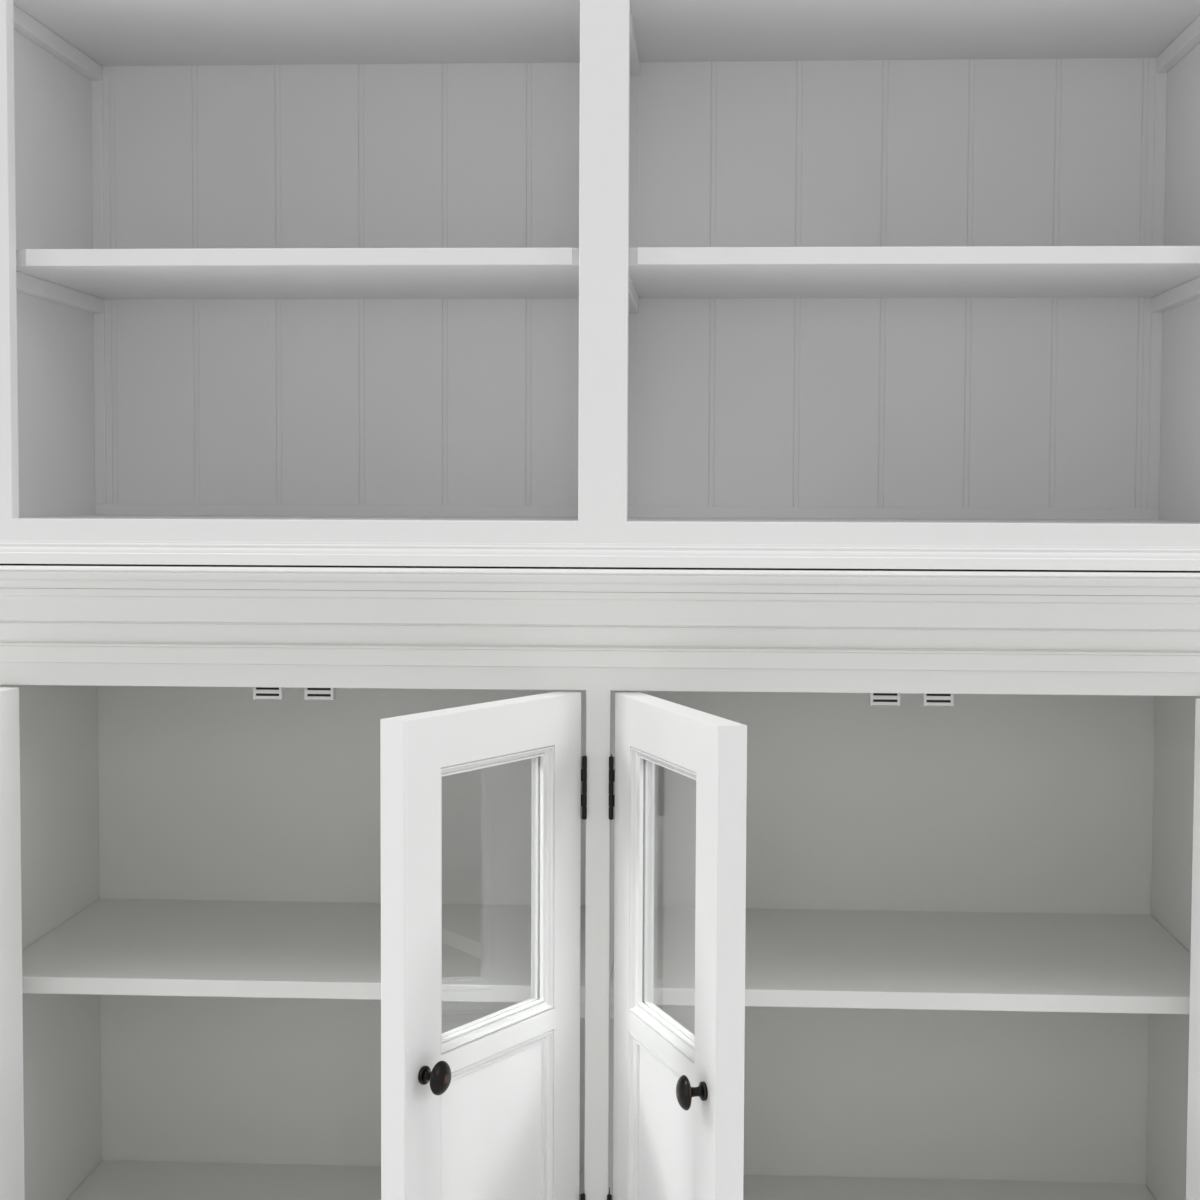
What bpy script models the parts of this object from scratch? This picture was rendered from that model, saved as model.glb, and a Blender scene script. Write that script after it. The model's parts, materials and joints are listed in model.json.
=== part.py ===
"""Hutch cabinet: a base cupboard with two pairs of glazed doors, and an open shelved hutch that stands on it.

+Z is up, +X is the viewer's right and +Y is towards the wall. The origin is on the floor, in the middle of the
carcass's width and depth. Lengths are in metres and angles in degrees.
"""

import math
from itertools import product

import bmesh
import bpy

# Fits
GAP = 0.0003
OVERRUN = 0.003
DIGITS = 7

# Boards
SIDE_THICKNESS = 0.020
DIVIDER_THICKNESS = 0.018
SHELF_THICKNESS = 0.018
FLOOR_THICKNESS = 0.018
BACK_THICKNESS = 0.012
CARCASS_DEPTH = 0.457
CLEAT_WIDTH = 0.0135
CLEAT_HEIGHT = 0.018

# Face frames
FRAME_THICKNESS = 0.022
END_STILE = 0.050
BASE_CENTRE_STILE = 0.025
HUTCH_CENTRE_STILE = 0.050

# Doors
DOOR_WIDTH = 0.300
DOOR_HEIGHT = 0.640
DOOR_THICKNESS = 0.027
HINGE_GAP = 0.002
MEETING_GAP = 0.002
DOOR_END_GAP = 0.0015
HINGE_STILE = 0.050
FREE_STILE = 0.055
TOP_RAIL = 0.048
MIDDLE_RAIL = 0.0205
BOTTOM_RAIL = 0.060
STICKING_WIDTH = 0.010
GLASS_SIGHT_HEIGHT = 0.242
GLASS_SET_IN = 0.012
GLASS_THICKNESS = 0.003
REBATE_WIDTH = 0.006
PANEL_SET_IN = 0.0085
PANEL_THICKNESS = 0.008
GROOVE_WIDTH = 0.008
LEFT_INNER_ANGLE = 62.67
RIGHT_INNER_ANGLE = 70.03
OUTER_ANGLE = 100.0

# Base cupboard
KICK_HEIGHT = 0.086
BASE_REVEAL = 0.025
BASE_SHELF_RISE = 0.3324
BASE_SHELF_SETBACK = 0.018
BASE_CLEAT_SETBACK = 0.010
BASE_BOARD_THICKNESS = 0.0204
BASE_BOARD_OVERHANG = 0.035
CORNICE_HEIGHT = 0.0756
CORNICE_PROUD = 0.026

# Hutch
HUTCH_SETBACK = 0.060
HUTCH_KICK_HEIGHT = 0.048
HUTCH_SHELF_PITCH = 0.283
HUTCH_TOP_SPACE = 0.265
HUTCH_SHELF_SETBACK = 0.004
HUTCH_REVEAL = 0.060
HUTCH_BOARD_THICKNESS = 0.021
HUTCH_BOARD_OVERHANG = 0.045
SKIRT_HEIGHT = 0.024
SKIRT_PROUD = 0.008
SKIRT_LIFT = 0.001
CROWN_HEIGHT = 0.090
CROWN_PROUD = 0.038
BEAD_PITCH = 0.1025
BEAD_WIDTH = 0.009
BEAD_DEPTH = 0.0015

# Butt hinges
HINGE_LENGTH = 0.0635
HINGE_INSET = 0.0645
KNUCKLE_COUNT = 5
KNUCKLE_RADIUS = 0.0025
KNUCKLE_CLEARANCE = 0.0005
PIN_RADIUS = 0.0014
LEAF_THICKNESS = 0.0012
LEAF_STANDOFF = 0.0004
LEAF_DEPTH = 0.020
HINGE_SIDES = 12

# Knobs
KNOB_RADIUS = 0.01525
KNOB_LENGTH = 0.0254
KNOB_DROP = 0.3235
KNOB_SIDES = 24
# How far each door's knob was set above the common height.
KNOB_RISES = {"left_outer": 0, "left_inner": 0.0025, "right_inner": -0.0025, "right_outer": 0}

# Catches
CATCH_WIDTH = 0.046
CATCH_BODY_WIDTH = 0.030
CATCH_HEIGHT = 0.015
CATCH_DEPTH = 0.014
CATCH_EAR_THICKNESS = 0.002
CATCH_CLEARANCE = 0.0015
CATCH_OFFSET = 0.0267
SLOT_WIDTH = 0.024
SLOT_DEPTH = 0.0015

# Outlines, as shares of the piece's projection and height, from the bottom up. A curve named "out" leaves the
# last point along the projection, and one named "up" leaves it along the height.
CORNICE_SHARES = (
    ("line", 0.18, 0.000),
    ("line", 0.18, 0.200),
    ("out", 0.24, 0.225),
    ("up", 0.18, 0.250),
    ("line", 0.21, 0.270),
    ("line", 0.42, 0.330),
    ("line", 0.56, 0.410),
    ("line", 0.65, 0.500),
    ("line", 0.68, 0.505),
    ("line", 0.68, 0.540),
    ("line", 0.74, 0.555),
    ("line", 0.80, 0.785),
    ("up", 0.90, 0.900),
    ("out", 1.00, 1.000),
)
CROWN_SHARES = (
    ("line", 0.14, 0.00),
    ("line", 0.14, 0.16),
    ("out", 0.21, 0.19),
    ("up", 0.17, 0.22),
    ("up", 0.80, 0.74),
    ("line", 0.84, 0.74),
    ("line", 0.84, 0.80),
    ("out", 1.00, 1.00),
)
SKIRT_SHARES = (
    ("line", 1.00, 0.00),
    ("line", 1.00, 0.48),
    ("line", 0.82, 0.50),
    ("line", 0.82, 0.55),
    ("up", 0.54, 0.72),
    ("line", 0.48, 0.74),
    ("line", 0.48, 0.90),
    ("line", 0.36, 0.92),
    ("line", 0.36, 1.00),
)
BOARD_EDGE_SHARES = (
    ("line", 0.80, 0.00),
    ("up", 0.90, 0.44),
    ("out", 1.00, 0.84),
    ("line", 0.97, 0.86),
    ("line", 0.97, 0.90),
    ("line", 1.00, 0.92),
    ("line", 1.00, 1.00),
)
# Shares of the sticking's width outside the sight line, and of the depth from the door's face to the glass.
STICKING_SHARES = (
    ("line", 1.00, 0.00),
    ("line", 1.00, 0.17),
    ("line", 0.86, 0.07),
    ("line", 0.72, 0.20),
    ("up", 0.20, 0.66),
    ("out", 0.00, 0.85),
    ("line", 0.00, 1.00),
)
# Shares of the knob's radius and length.
KNOB_SHARES = (
    (0.550, 0.000),
    (0.550, 0.095),
    (0.490, 0.135),
    (0.350, 0.165),
    (0.275, 0.230),
    (0.265, 0.390),
    (0.300, 0.500),
    (0.420, 0.580),
    (0.700, 0.635),
    (0.930, 0.680),
    (1.000, 0.725),
    (0.975, 0.775),
    (0.870, 0.845),
    (0.660, 0.920),
    (0.400, 0.970),
    (0.150, 1.000),
)
# Shares of the bead's width and depth.
BEAD_SHARES = ((-0.50, 0.0), (-0.38, 1.0), (-0.26, 0.0), (0.26, 0.0), (0.38, 1.0), (0.50, 0.0))
# Where each slot lies, as shares of the catch's height below the sub-top.
SLOT_SHARES = ((0.20, 0.31), (0.62, 0.77))
CURVE_STEPS = 4

# Widths, from the middle outwards
DOORWAY_WIDTH = HINGE_GAP + DOOR_WIDTH + MEETING_GAP + DOOR_WIDTH + HINGE_GAP
DOORWAY_START = BASE_CENTRE_STILE / 2
DOORWAY_END = DOORWAY_START + DOORWAY_WIDTH
HALF_WIDTH = DOORWAY_END + END_STILE
INNER_HALF_WIDTH = HALF_WIDTH - SIDE_THICKNESS
DIVIDER_HALF = DIVIDER_THICKNESS / 2
HUTCH_OPENING_START = HUTCH_CENTRE_STILE / 2
MEETING_X = DOORWAY_START + HINGE_GAP + DOOR_WIDTH + MEETING_GAP / 2
INNER_PIN_X = DOORWAY_START + HINGE_GAP / 2
OUTER_PIN_X = DOORWAY_END - HINGE_GAP / 2

# Depths
FRONT = -CARCASS_DEPTH / 2
BACK = CARCASS_DEPTH / 2
INNER_BACK = BACK - BACK_THICKNESS
BEHIND_FRAME = FRONT + FRAME_THICKNESS
HUTCH_FRONT = FRONT + HUTCH_SETBACK
BEHIND_HUTCH_FRAME = HUTCH_FRONT + FRAME_THICKNESS
HALVING_Y = 0.0

# Heights
DOORWAY_HEIGHT = DOOR_HEIGHT + 2 * DOOR_END_GAP
DOORWAY_TOP = KICK_HEIGHT + DOORWAY_HEIGHT
DOOR_BOTTOM = KICK_HEIGHT + DOOR_END_GAP
DOOR_TOP = DOOR_BOTTOM + DOOR_HEIGHT
BASE_SHELF_TOP = KICK_HEIGHT + BASE_SHELF_RISE
CORNICE_BOTTOM = DOORWAY_TOP + BASE_REVEAL
BASE_BOARD_BOTTOM = CORNICE_BOTTOM + CORNICE_HEIGHT
BASE_TOP = BASE_BOARD_BOTTOM + BASE_BOARD_THICKNESS
HUTCH_BOTTOM = BASE_TOP + GAP
HUTCH_FLOOR_TOP = BASE_TOP + HUTCH_KICK_HEIGHT
HUTCH_SHELF_TOPS = [HUTCH_FLOOR_TOP + HUTCH_SHELF_PITCH * (number + 1) for number in range(2)]
HUTCH_OPENING_TOP = HUTCH_SHELF_TOPS[-1] + HUTCH_TOP_SPACE
CROWN_BOTTOM = HUTCH_OPENING_TOP + HUTCH_REVEAL
HUTCH_BOARD_BOTTOM = CROWN_BOTTOM + CROWN_HEIGHT
CABINET_TOP = HUTCH_BOARD_BOTTOM + HUTCH_BOARD_THICKNESS

# Hinges, measured from the pin's axis with the door closed
PIN_STANDOFF = KNUCKLE_RADIUS + KNUCKLE_CLEARANCE
PIN_Y = FRONT - PIN_STANDOFF
LEAF_START = KNUCKLE_RADIUS + 2 * GAP
LEAF_END = PIN_STANDOFF + LEAF_DEPTH
LEAF_OUTER = LEAF_STANDOFF + LEAF_THICKNESS
HINGE_BOTTOMS = {
    "upper": DOOR_TOP - HINGE_INSET - HINGE_LENGTH,
    "lower": DOOR_BOTTOM + HINGE_INSET,
}

# A door's hand is 1 where it reaches from its pin towards +X, and -1 where it reaches towards -X.
DOORS = (
    ("left_outer", 1, -OUTER_PIN_X, OUTER_ANGLE),
    ("left_inner", -1, -INNER_PIN_X, LEFT_INNER_ANGLE),
    ("right_inner", 1, INNER_PIN_X, RIGHT_INNER_ANGLE),
    ("right_outer", -1, OUTER_PIN_X, OUTER_ANGLE),
)

# Finishes: colour, roughness, metallic
PAINT = ((0.66, 0.66, 0.65), 0.45, 0.0)
GLASS = ((0.82, 0.85, 0.84), 0.05, 0.0)
BRONZE = ((0.030, 0.024, 0.020), 0.38, 0.8)
BLACK_STEEL = ((0.012, 0.012, 0.011), 0.45, 0.7)
WHITE_PLASTIC = ((0.72, 0.72, 0.70), 0.4, 0.0)


def clear_scene():
    """Removes whatever the scene holds."""
    for item in list(bpy.data.objects):
        bpy.data.objects.remove(item)


def finished_mesh(name, bm):
    """The bmesh as a mesh whose faces all point out."""
    bmesh.ops.recalc_face_normals(bm, faces=bm.faces)
    mesh = bpy.data.meshes.new(name)
    bm.to_mesh(mesh)
    bm.free()
    return mesh


def blocks_mesh(name, solids, voids=()):
    """One closed mesh of the space inside any of the solid boxes and outside all of the void boxes.

    A box is its low and its high corner. The boxes' planes cut space into cells, and a face goes wherever a
    filled cell meets an empty one.
    """
    boxes = [[[round(value, DIGITS) for value in corner] for corner in box] for box in (*solids, *voids)]
    solid_boxes = boxes[: len(solids)]
    void_boxes = boxes[len(solids) :]
    cuts = [sorted({corner[axis] for box in boxes for corner in box}) for axis in range(3)]

    def holds(some, point):
        return any(all(low[a] < point[a] < high[a] for a in range(3)) for low, high in some)

    def filled(cell):
        if any(not 0 <= place < len(cut) - 1 for place, cut in zip(cell, cuts)):
            return False
        middle = [(cut[place] + cut[place + 1]) / 2 for place, cut in zip(cell, cuts)]
        return holds(solid_boxes, middle) and not holds(void_boxes, middle)

    bm = bmesh.new()
    vertices = {}

    def vertex(place):
        if place not in vertices:
            vertices[place] = bm.verts.new([cuts[axis][place[axis]] for axis in range(3)])
        return vertices[place]

    cells = [cell for cell in product(*(range(len(cut) - 1) for cut in cuts)) if filled(cell)]
    for cell, axis, side in product(cells, range(3), (0, 1)):
        neighbour = list(cell)
        neighbour[axis] += 2 * side - 1
        if filled(neighbour):
            continue
        second, third = (axis + 1) % 3, (axis + 2) % 3
        loop = []
        for step, other_step in ((0, 0), (1, 0), (1, 1), (0, 1)):
            corner = list(cell)
            corner[axis] += side
            corner[second] += step
            corner[third] += other_step
            loop.append(vertex(tuple(corner)))
        bm.faces.new(loop)
    return finished_mesh(name, bm)


def lofted_mesh(name, rings):
    """A closed mesh through rings that all have as many points, with a flat cap on the first and the last."""
    bm = bmesh.new()
    loops = [[bm.verts.new(point) for point in ring] for ring in rings]
    for lower, upper in zip(loops, loops[1:]):
        for index, start in enumerate(lower):
            after = (index + 1) % len(lower)
            bm.faces.new((start, lower[after], upper[after], upper[index]))
    bm.faces.new(loops[0])
    bm.faces.new(loops[-1])
    return finished_mesh(name, bm)


def rod_mesh(name, radius, bottom, top):
    """An upright round rod about the Z axis."""
    turns = [2 * math.pi * side / HINGE_SIDES for side in range(HINGE_SIDES)]
    rings = [[(radius * math.cos(turn), radius * math.sin(turn), z) for turn in turns] for z in (bottom, top)]
    return lofted_mesh(name, rings)


def combined_mesh(mesh, others, operation):
    """The mesh after a Boolean with each of the others. The objects that it needs are removed again."""
    body = bpy.data.objects.new(mesh.name, mesh)
    bpy.context.collection.objects.link(body)
    helpers = []
    for other in others:
        helper = bpy.data.objects.new(other.name, other)
        helper.hide_render = True
        helper.display_type = "WIRE"
        bpy.context.collection.objects.link(helper)
        helpers.append(helper)
        modifier = body.modifiers.new(other.name, "BOOLEAN")
        modifier.operation = operation
        modifier.object = helper
    graph = bpy.context.evaluated_depsgraph_get()
    result = bpy.data.meshes.new_from_object(body.evaluated_get(graph))
    for item in (body, *helpers):
        bpy.data.objects.remove(item)
    return result


def outline(shares, width, height):
    """The points of a moulding's outline, from its table of shares."""
    points = []
    for kind, width_share, height_share in shares:
        end = (width_share * width, height_share * height)
        if kind == "line":
            points.append(end)
            continue
        start = points[-1]
        for step in range(CURVE_STEPS):
            turn = math.pi / 2 * (step + 1) / CURVE_STEPS
            rises = (math.sin(turn), 1 - math.cos(turn))
            across, along = rises if kind == "out" else rises[::-1]
            points.append((start[0] + (end[0] - start[0]) * across, start[1] + (end[1] - start[1]) * along))
    return points


def moulding_mesh(name, shares, proud, height, bottom, front):
    """A strip of moulding along the front and, mitred at both corners, along the two sides to the back."""
    closed = [(GAP, 0.0), *outline(shares, proud, height), (GAP, height)]
    rings = []
    for across, corner in ((-1, BACK), (-1, front), (1, front), (1, BACK)):
        rings.append(
            [
                (across * (HALF_WIDTH + out), corner if corner == BACK else corner - out, bottom + up)
                for out, up in closed
            ]
        )
    return lofted_mesh(name, rings)


def moulded_board_mesh(name, overhang, thickness, bottom, front):
    """A top board whose front and side edges carry the board outline, and whose back edge is square."""
    rings = []
    for out, up in outline(BOARD_EDGE_SHARES, overhang, thickness):
        side = HALF_WIDTH + out
        rings.append([(x, y, bottom + up) for x, y in ((-side, BACK), (side, BACK), (side, front - out), (-side, front - out))])
    return lofted_mesh(name, rings)


def shaded_round(mesh):
    """Smooth shading with sharp rims."""
    mesh.shade_smooth()
    mesh.set_sharp_from_angle(angle=math.radians(40))
    return mesh


def place(name, mesh, finish, parent=None, location=(0, 0, 0)):
    """Adds the named object with its own material."""
    colour, roughness, metallic = finish
    material = bpy.data.materials.new(name)
    material.use_nodes = True
    shader = material.node_tree.nodes["Principled BSDF"]
    shader.inputs["Base Color"].default_value = (*colour, 1)
    shader.inputs["Roughness"].default_value = roughness
    shader.inputs["Metallic"].default_value = metallic
    if finish is GLASS:
        shader.inputs["Transmission Weight"].default_value = 1
    mesh.materials.clear()
    mesh.materials.append(material)
    item = bpy.data.objects.new(name, mesh)
    item.location = location
    item.parent = parent
    bpy.context.collection.objects.link(item)
    return item


def place_blocks(name, solids, voids=(), finish=PAINT, parent=None):
    """Adds an object made of boxes."""
    return place(name, blocks_mesh(name, solids, voids), finish, parent)


def span(hand, near, far):
    """The low and the high of two distances measured towards the hand's side."""
    return sorted((hand * near, hand * far))


def hinge_mortises(pin_x, side):
    """The two shallow pockets for hinge leaves, on the given side of a pin."""
    low, high = span(side, HINGE_GAP / 2 - OVERRUN, LEAF_OUTER + GAP)
    pockets = []
    for bottom in HINGE_BOTTOMS.values():
        pockets.append(
            (
                (pin_x + low, PIN_Y, bottom - GAP),
                (pin_x + high, PIN_Y + LEAF_END + GAP, bottom + HINGE_LENGTH + GAP),
            )
        )
    return pockets


def build_side(name, side, front, bottom, top, shelf_tops, cleat_front):
    """An end panel with a cleat under each of its shelves."""
    board_x = span(side, INNER_HALF_WIDTH, HALF_WIDTH)
    cleat_x = span(side, INNER_HALF_WIDTH - CLEAT_WIDTH, HALF_WIDTH)
    back = INNER_BACK - GAP
    solids = [((board_x[0], front, bottom), (board_x[1], back, top))]
    for shelf_top in shelf_tops:
        cleat_top = shelf_top - SHELF_THICKNESS - GAP
        solids.append(((cleat_x[0], cleat_front, cleat_top - CLEAT_HEIGHT), (cleat_x[1], back, cleat_top)))
    place_blocks(name, solids)


def build_divider(name, front, bottom, top, shelf_tops, cleat_front, slots=()):
    """The middle panel with a cleat on both faces under each pair of shelves."""
    back = INNER_BACK - GAP
    solids = [((-DIVIDER_HALF, front, bottom), (DIVIDER_HALF, back, top))]
    reach = DIVIDER_HALF + CLEAT_WIDTH
    for shelf_top in shelf_tops:
        cleat_top = shelf_top - SHELF_THICKNESS - GAP
        solids.append(((-reach, cleat_front, cleat_top - CLEAT_HEIGHT), (reach, back, cleat_top)))
    place_blocks(name, solids, slots)


def build_shelves(names, front, shelf_top):
    """A left and a right shelf between the divider and the sides."""
    for name, side in zip(names, (-1, 1)):
        low, high = span(side, DIVIDER_HALF + GAP, INNER_HALF_WIDTH - GAP)
        place_blocks(name, [((low, front, shelf_top - SHELF_THICKNESS), (high, INNER_BACK - GAP, shelf_top))])


def build_base():
    """The cupboard's carcass. The divider and the two long boards that it crosses are halved into each other."""
    inside_front = BEHIND_FRAME + GAP
    inside_back = INNER_BACK - GAP
    shelf_front = BEHIND_FRAME + BASE_SHELF_SETBACK
    cleat_front = shelf_front + BASE_CLEAT_SETBACK
    top = BASE_BOARD_BOTTOM - GAP
    for name, side in (("base_side_left", -1), ("base_side_right", 1)):
        build_side(name, side, inside_front, 0, top, [BASE_SHELF_TOP], cleat_front)

    halved = DIVIDER_HALF + GAP
    board_half = INNER_HALF_WIDTH - GAP
    slots = []
    for name, bottom, thickness in (
        ("base_floor", KICK_HEIGHT - FLOOR_THICKNESS, FLOOR_THICKNESS),
        ("base_subtop", DOORWAY_TOP, SHELF_THICKNESS),
    ):
        board = ((-board_half, inside_front, bottom), (board_half, inside_back, bottom + thickness))
        slot = (
            (-halved, inside_front - OVERRUN, bottom - OVERRUN),
            (halved, HALVING_Y + GAP, bottom + thickness + OVERRUN),
        )
        place_blocks(name, [board], [slot])
        slots.append(
            (
                (-halved - OVERRUN, HALVING_Y, bottom - GAP),
                (halved + OVERRUN, inside_back + OVERRUN, bottom + thickness + GAP),
            )
        )
    build_divider("base_divider", inside_front, 0, top, [BASE_SHELF_TOP], cleat_front, slots)
    build_shelves(("base_shelf_left", "base_shelf_right"), shelf_front, BASE_SHELF_TOP)
    place_blocks("base_back", [((-HALF_WIDTH, INNER_BACK, 0), (HALF_WIDTH, BACK, top))])

    cuts = []
    for side in (-1, 1):
        low, high = span(side, DOORWAY_START, DOORWAY_END)
        cuts.append(((low, FRONT - OVERRUN, KICK_HEIGHT), (high, BEHIND_FRAME + OVERRUN, DOORWAY_TOP)))
    for _, hand, pin_x, _ in DOORS:
        cuts.extend(hinge_mortises(pin_x, -hand))
    place_blocks("base_face_frame", [((-HALF_WIDTH, FRONT, 0), (HALF_WIDTH, BEHIND_FRAME, top))], cuts)

    cornice_height = CORNICE_HEIGHT - GAP
    cornice = moulding_mesh("base_cornice", CORNICE_SHARES, CORNICE_PROUD, cornice_height, CORNICE_BOTTOM, FRONT)
    place("base_cornice", cornice, PAINT)
    board = moulded_board_mesh(
        "base_top_board", BASE_BOARD_OVERHANG, BASE_BOARD_THICKNESS, BASE_BOARD_BOTTOM, FRONT
    )
    place("base_top_board", board, PAINT)


def build_catches():
    """Two catches on each side, under the sub-top, one behind the free edge of each door."""
    front = FRONT + DOOR_THICKNESS + CATCH_CLEARANCE
    top = DOORWAY_TOP - GAP
    for side_name, side in (("left", -1), ("right", 1)):
        for place_name, offset in (("inner", -CATCH_OFFSET), ("outer", CATCH_OFFSET)):
            middle = side * (MEETING_X + offset)
            solids = []
            for width, height in ((CATCH_WIDTH, CATCH_EAR_THICKNESS), (CATCH_BODY_WIDTH, CATCH_HEIGHT)):
                solids.append(
                    ((middle - width / 2, front, top - height), (middle + width / 2, front + CATCH_DEPTH, top))
                )
            slots = []
            for near, far in SLOT_SHARES:
                slots.append(
                    (
                        (middle - SLOT_WIDTH / 2, front - OVERRUN, top - far * CATCH_HEIGHT),
                        (middle + SLOT_WIDTH / 2, front + SLOT_DEPTH, top - near * CATCH_HEIGHT),
                    )
                )
            place_blocks(f"{side_name}_{place_name}_catch", solids, slots, WHITE_PLASTIC)


def beadboard_mesh(name, bottom, top):
    """The hutch's back: an upright board whose front face has a bead between two grooves at each pitch."""
    count = int((INNER_HALF_WIDTH - DIVIDER_HALF) / BEAD_PITCH)
    offsets = [DIVIDER_HALF + BEAD_PITCH * (number + 1) for number in range(count)]
    middles = [-offset for offset in reversed(offsets)] + offsets
    edge = [(-HALF_WIDTH, INNER_BACK)]
    for middle in middles:
        edge += [(middle + across * BEAD_WIDTH, INNER_BACK + deep * BEAD_DEPTH) for across, deep in BEAD_SHARES]
    edge += [(HALF_WIDTH, INNER_BACK), (HALF_WIDTH, BACK), (-HALF_WIDTH, BACK)]
    return lofted_mesh(name, [[(x, y, z) for x, y in edge] for z in (bottom, top)])


def build_hutch():
    """The open shelves that stand on the base's top board."""
    inside_front = BEHIND_HUTCH_FRAME + GAP
    inside_back = INNER_BACK - GAP
    top = HUTCH_BOARD_BOTTOM - GAP
    for name, side in (("hutch_side_left", -1), ("hutch_side_right", 1)):
        build_side(name, side, inside_front, HUTCH_BOTTOM, top, HUTCH_SHELF_TOPS, inside_front)
    build_divider("hutch_divider", inside_front, HUTCH_FLOOR_TOP + GAP, top, HUTCH_SHELF_TOPS, inside_front)

    floor_half = INNER_HALF_WIDTH - GAP
    floor_bottom = HUTCH_FLOOR_TOP - FLOOR_THICKNESS
    floor = ((-floor_half, inside_front, floor_bottom), (floor_half, inside_back, HUTCH_FLOOR_TOP))
    place_blocks("hutch_floor", [floor])
    shelf_front = BEHIND_HUTCH_FRAME + HUTCH_SHELF_SETBACK
    for level, shelf_top in zip(("lower", "upper"), HUTCH_SHELF_TOPS):
        names = (f"hutch_{level}_shelf_left", f"hutch_{level}_shelf_right")
        build_shelves(names, shelf_front, shelf_top)
    place("hutch_beadboard_back", beadboard_mesh("hutch_beadboard_back", HUTCH_BOTTOM, top), PAINT)

    openings = []
    for side in (-1, 1):
        low, high = span(side, HUTCH_OPENING_START, DOORWAY_END)
        openings.append(
            (
                (low, HUTCH_FRONT - OVERRUN, HUTCH_FLOOR_TOP),
                (high, BEHIND_HUTCH_FRAME + OVERRUN, HUTCH_OPENING_TOP),
            )
        )
    frame = ((-HALF_WIDTH, HUTCH_FRONT, HUTCH_BOTTOM), (HALF_WIDTH, BEHIND_HUTCH_FRAME, top))
    place_blocks("hutch_face_frame", [frame], openings)

    skirt_bottom = BASE_TOP + SKIRT_LIFT
    skirt = moulding_mesh("hutch_base_moulding", SKIRT_SHARES, SKIRT_PROUD, SKIRT_HEIGHT, skirt_bottom, HUTCH_FRONT)
    place("hutch_base_moulding", skirt, PAINT)
    crown_height = CROWN_HEIGHT - GAP
    crown = moulding_mesh("hutch_crown", CROWN_SHARES, CROWN_PROUD, crown_height, CROWN_BOTTOM, HUTCH_FRONT)
    place("hutch_crown", crown, PAINT)
    board = moulded_board_mesh(
        "hutch_top_board", HUTCH_BOARD_OVERHANG, HUTCH_BOARD_THICKNESS, HUTCH_BOARD_BOTTOM, HUTCH_FRONT
    )
    place("hutch_top_board", board, PAINT)


def leaf_mesh(name, side, bottom, first_knuckle):
    """A hinge leaf about the pin's axis. The leaf that has the first knuckle holds the pin, and the other is bored."""
    pitch = HINGE_LENGTH / KNUCKLE_COUNT
    plate_x = span(side, LEAF_STANDOFF, LEAF_OUTER)
    solids = [((plate_x[0], LEAF_START, bottom), (plate_x[1], LEAF_END, bottom + HINGE_LENGTH))]
    rods = []
    for number in range(first_knuckle, KNUCKLE_COUNT, 2):
        low = bottom + pitch * number + (GAP / 2 if number else 0)
        high = bottom + pitch * (number + 1) - (GAP / 2 if number < KNUCKLE_COUNT - 1 else 0)
        solids.append(((plate_x[0], 0, low), (plate_x[1], LEAF_END, high)))
        rods.append(rod_mesh(f"{name}_knuckle", KNUCKLE_RADIUS, low, high))
    plate = blocks_mesh(name, solids)
    if first_knuckle:
        hole = rod_mesh(f"{name}_bore", PIN_RADIUS + GAP, bottom - OVERRUN, bottom + HINGE_LENGTH + OVERRUN)
        leaf = combined_mesh(combined_mesh(plate, rods, "UNION"), [hole], "DIFFERENCE")
    else:
        pin = rod_mesh(f"{name}_pin", PIN_RADIUS, bottom + pitch / 2, bottom + HINGE_LENGTH - pitch / 2)
        leaf = combined_mesh(plate, [*rods, pin], "UNION")
    return shaded_round(leaf)


def opening_cutter(name, hand, across, heights, walls):
    """A cutter for one of the door's openings. Each wall is how far it lies outside the sight line, and its depth."""
    rings = []
    for outside, depth in walls:
        low, high = span(hand, across[0] - outside, across[1] + outside)
        y = PIN_STANDOFF + depth
        bottom, top = heights[0] - outside, heights[1] + outside
        rings.append([(low, y, bottom), (high, y, bottom), (high, y, top), (low, y, top)])
    return lofted_mesh(name, rings)


def door_sight(hand):
    """Where the sight lines of the glass and of the panel lie: across from the pin, and in height."""
    edge = HINGE_GAP / 2
    across = (edge + HINGE_STILE + STICKING_WIDTH, edge + DOOR_WIDTH - FREE_STILE - STICKING_WIDTH)
    glass_top = DOOR_TOP - TOP_RAIL - STICKING_WIDTH
    glass_bottom = glass_top - GLASS_SIGHT_HEIGHT
    panel_top = glass_bottom - MIDDLE_RAIL - 2 * STICKING_WIDTH
    panel_bottom = DOOR_BOTTOM + BOTTOM_RAIL + STICKING_WIDTH
    return across, (glass_bottom, glass_top), (panel_bottom, panel_top)


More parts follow.
